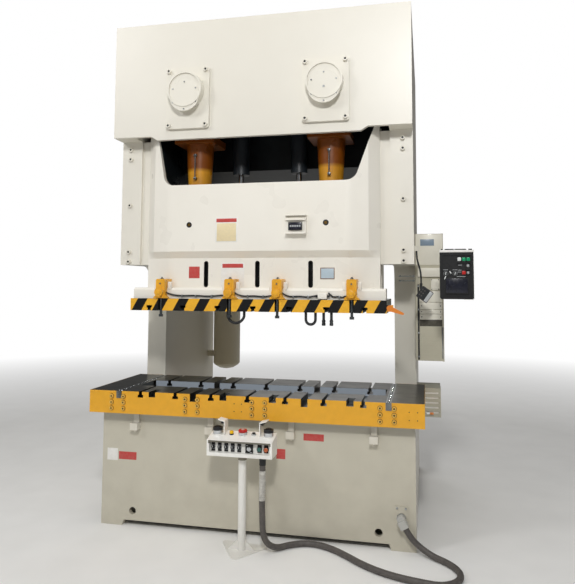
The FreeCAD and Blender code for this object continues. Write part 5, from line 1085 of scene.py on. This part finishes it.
FACE_Y = -0.242
block((1.475, -0.2495, 2.208), (1.725, -0.146, 2.2225))
block((1.472, -0.252, 2.2225), (1.728, -0.14, 2.241), 0.003, 1)
for left, right in ((1.484, 1.498), (1.512, 1.58), (1.586, 1.672), (1.688, 1.716)):
    block((left, -0.25, 2.241), (right, -0.23, 2.249), 0.0005)
block((1.724, -0.249, 1.868), (1.7275, -0.06, 2.2225), 0.001, 1)
block((1.655, -0.25, 1.859), (1.722, -0.2, 1.864), 0.001, 1)
for x, finish in ((1.62, 2), (1.6535, 3), (1.686, 3)):
    block((x - 0.013, -0.256, 2.156), (x + 0.013, FACE_Y, 2.182), 0.002, finish)
block((1.639, -0.256, 2.053), (1.665, FACE_Y, 2.079), 0.002, 4)
for z in (2.119, 2.066):
    turned([(0.0145, 0), (0.0145, -0.011), (0.0115, -0.015), (0, -0.0155)], (1.684, FACE_Y, z),
           "Y", 5)
    turned([(0.0075, -0.0155), (0.006, -0.0175), (0, -0.018)], (1.684, FACE_Y, z), "Y", 7)
for x in (1.5175, 1.5875):
    hoop(0.015, 0.0185, -0.008, 0, (x, FACE_Y, 2.059), "Y", 5)
    turned([(0.011, -0.013), (0.0095, -0.0175), (0, -0.018)], (x, FACE_Y, 2.059), "Y", 5)
    bar((x - 0.004, 2.049), (x + 0.004, 2.069), 0.0035, FACE_Y - 0.018, 0.0008, 2)
bar((1.559, 2.06), (1.547, 2.077), 0.007, FACE_Y, 0.003, 2)
bar((1.508, 2.016), (1.519, 2.04), 0.006, FACE_Y, 0.006, 2)
for x1, x2, z in ((1.5, 1.535, 2.088), (1.57, 1.605, 2.088), (1.612, 1.64, 2.124),
                  (1.612, 1.636, 2.085), (1.606, 1.634, 2.071), (1.6, 1.665, 2.037)):
    bar((x1, z), (x2, z), 0.0035, FACE_Y, 0.0006, 7)
block((1.512, -0.2475, 1.898), (1.688, FACE_Y, 2.028))
block((1.519, -0.249, 1.912), (1.679, -0.247, 2.021), 0.001, 8)
piece("panel_front_fittings", [overlay_black, field_white, white_lens, green_lens, red_abs, zinc,
                               cast_iron, grey_abs, screen_glass], "panel")
print("panel: lid, buttons, knobs and display")

# %% [markdown]
# ## The cabinet door
# The door is clad with thin covers: a light one at the top with a blue field, a ledge, a small
# terminal cover on four screws, and four strips over the vents on two screws each. A black
# conduit is clipped to the door's edge and swings with it.

# %% Door covers
DOOR_Y = 0.3
block((1.284, 0.296, 2.142), (1.509, DOOR_Y, 2.4085))
plate(1.324, 2.309, 1.44, 2.365, 0.296, 3)
block((1.301, 0.278, 2.04), (1.51, DOOR_Y, 2.117), 0.003)
block((1.409, 0.29, 1.927), (1.483, DOOR_Y, 2.022), 0.003)
for x in (1.416, 1.476):
    for z in (1.934, 2.015):
        disc(0.004, 0.002, (x, 0.29, z), 2, 12)
for low, high in ((1.8245, 1.919), (1.7625, 1.8205), (1.7245, 1.7585), (1.6745, 1.7205)):
    block((1.313, 0.293, low), (1.502, DOOR_Y, high), 0.0025)
    for x in (1.33, 1.488):
        disc(0.0045, 0.002, (x, 0.293, (low + high) / 2), 2, 12)
# Painted shadow: the dark strip below the vent strips stands for the gap's shade.
block((1.313, 0.2985, 1.618), (1.502, DOOR_Y, 1.674), 0.0003, 4)
block((1.498, 0.29, 1.345), (1.508, DOOR_Y, 1.61), 0.002, 1)
piece("door_covers", [panel_enamel, zinc, black_nylon, field_slate, seam_shadow], "door")
rod(0.007, 1.335, 1.975, (1.304, 0.293, 0), "Z", 0, 20)
for z in (1.36, 1.56, 1.76, 1.96):
    block((1.294, 0.285, z - 0.006), (1.314, DOOR_Y, z + 0.006), 0.002, 1)
piece("door_conduit", [rubber, zinc], "door")
for z in (2.046, 2.006):
    rod(0.0045, 1.137, 1.276, (0, 0.28, z), "X", 0, 16)
    for x in (1.15, 1.262):
        block((x - 0.006, 0.275, z - 0.009), (x + 0.006, 0.29, z + 0.009))
piece("frame_air_pipes", [zinc])
print("door: covers, conduit; frame: two pipes")

# %% [markdown]
# ## The hand pendant
# The pendant is a black case with a light keypad strip along its lower edge and six small
# buttons. It hangs tilted, so its details are drawn upright first and then turned with it.

# %% Pendant details
block((0.02, -0.0245, -0.046), (0.048, -0.022, 0.046), 0.001)
for column in range(3):
    for row in range(2):
        x, z = -0.036 + 0.02 * row, -0.024 + 0.024 * column
        knob(0.0055, 0.003, 0.0045, 0.004, (x, -0.023, z), 1, 18)
block((-0.048, -0.0235, -0.048), (0.049, -0.0225, -0.046), 0.0004, 1)
block((-0.048, -0.0235, 0.046), (0.049, -0.0225, 0.048), 0.0004, 1)
bmesh.ops.rotate(drawn, cent=(0, 0, 0), matrix=Matrix.Rotation(math.radians(36), 3, "Y"),
                 verts=drawn.verts)
bmesh.ops.translate(drawn, vec=(1.358, 0, 1.894), verts=drawn.verts)
for number in range(5):
    hoop(0.0095, 0.0118, 1.936 + 0.01 * number, 1.941 + 0.01 * number, (1.33, 0, 0), "Z", 2, 20)
piece("pendant_keys", [grey_abs, cable_sheath, rubber])
print("pendant: keypad strip, six buttons, boot ribs")

# %% [markdown]
# ## Where the cable enters the bed
# The elbow is screwed to a cream plate with two screws at its top and one at its foot.

# %% Entry plate
ENTRY_Y = -0.352
for x, z in ((1.138, 0.312), (1.202, 0.312), (1.17, 0.172)):
    knob(0.0085, 0.004, 0.0065, 0.006, (x, ENTRY_Y, z), 0, 20)
hoop(0.0295, 0.035, -0.01, 0, (1.17, ENTRY_Y, 0.243), "Y", 0, 36)
piece("entry_plate_screws", [zinc])
rod(0.0085, 1.362, 1.39, (0, 0.456, 0.852), "X", 0, 20)
turned([(0, 1.39), (0.0095, 1.39), (0.0095, 1.418), (0.007, 1.421), (0, 1.421)], (0, 0.456, 0.852),
       "X", 1, 20)
block((1.366, 0.45, 0.842), (1.38, 0.47, 0.862))
piece("louvred_box_fitting", [white_lens, lever_orange])
print("entry plate: three screws and a lock ring")

# %% Finish
bpy.context.view_layer.update()
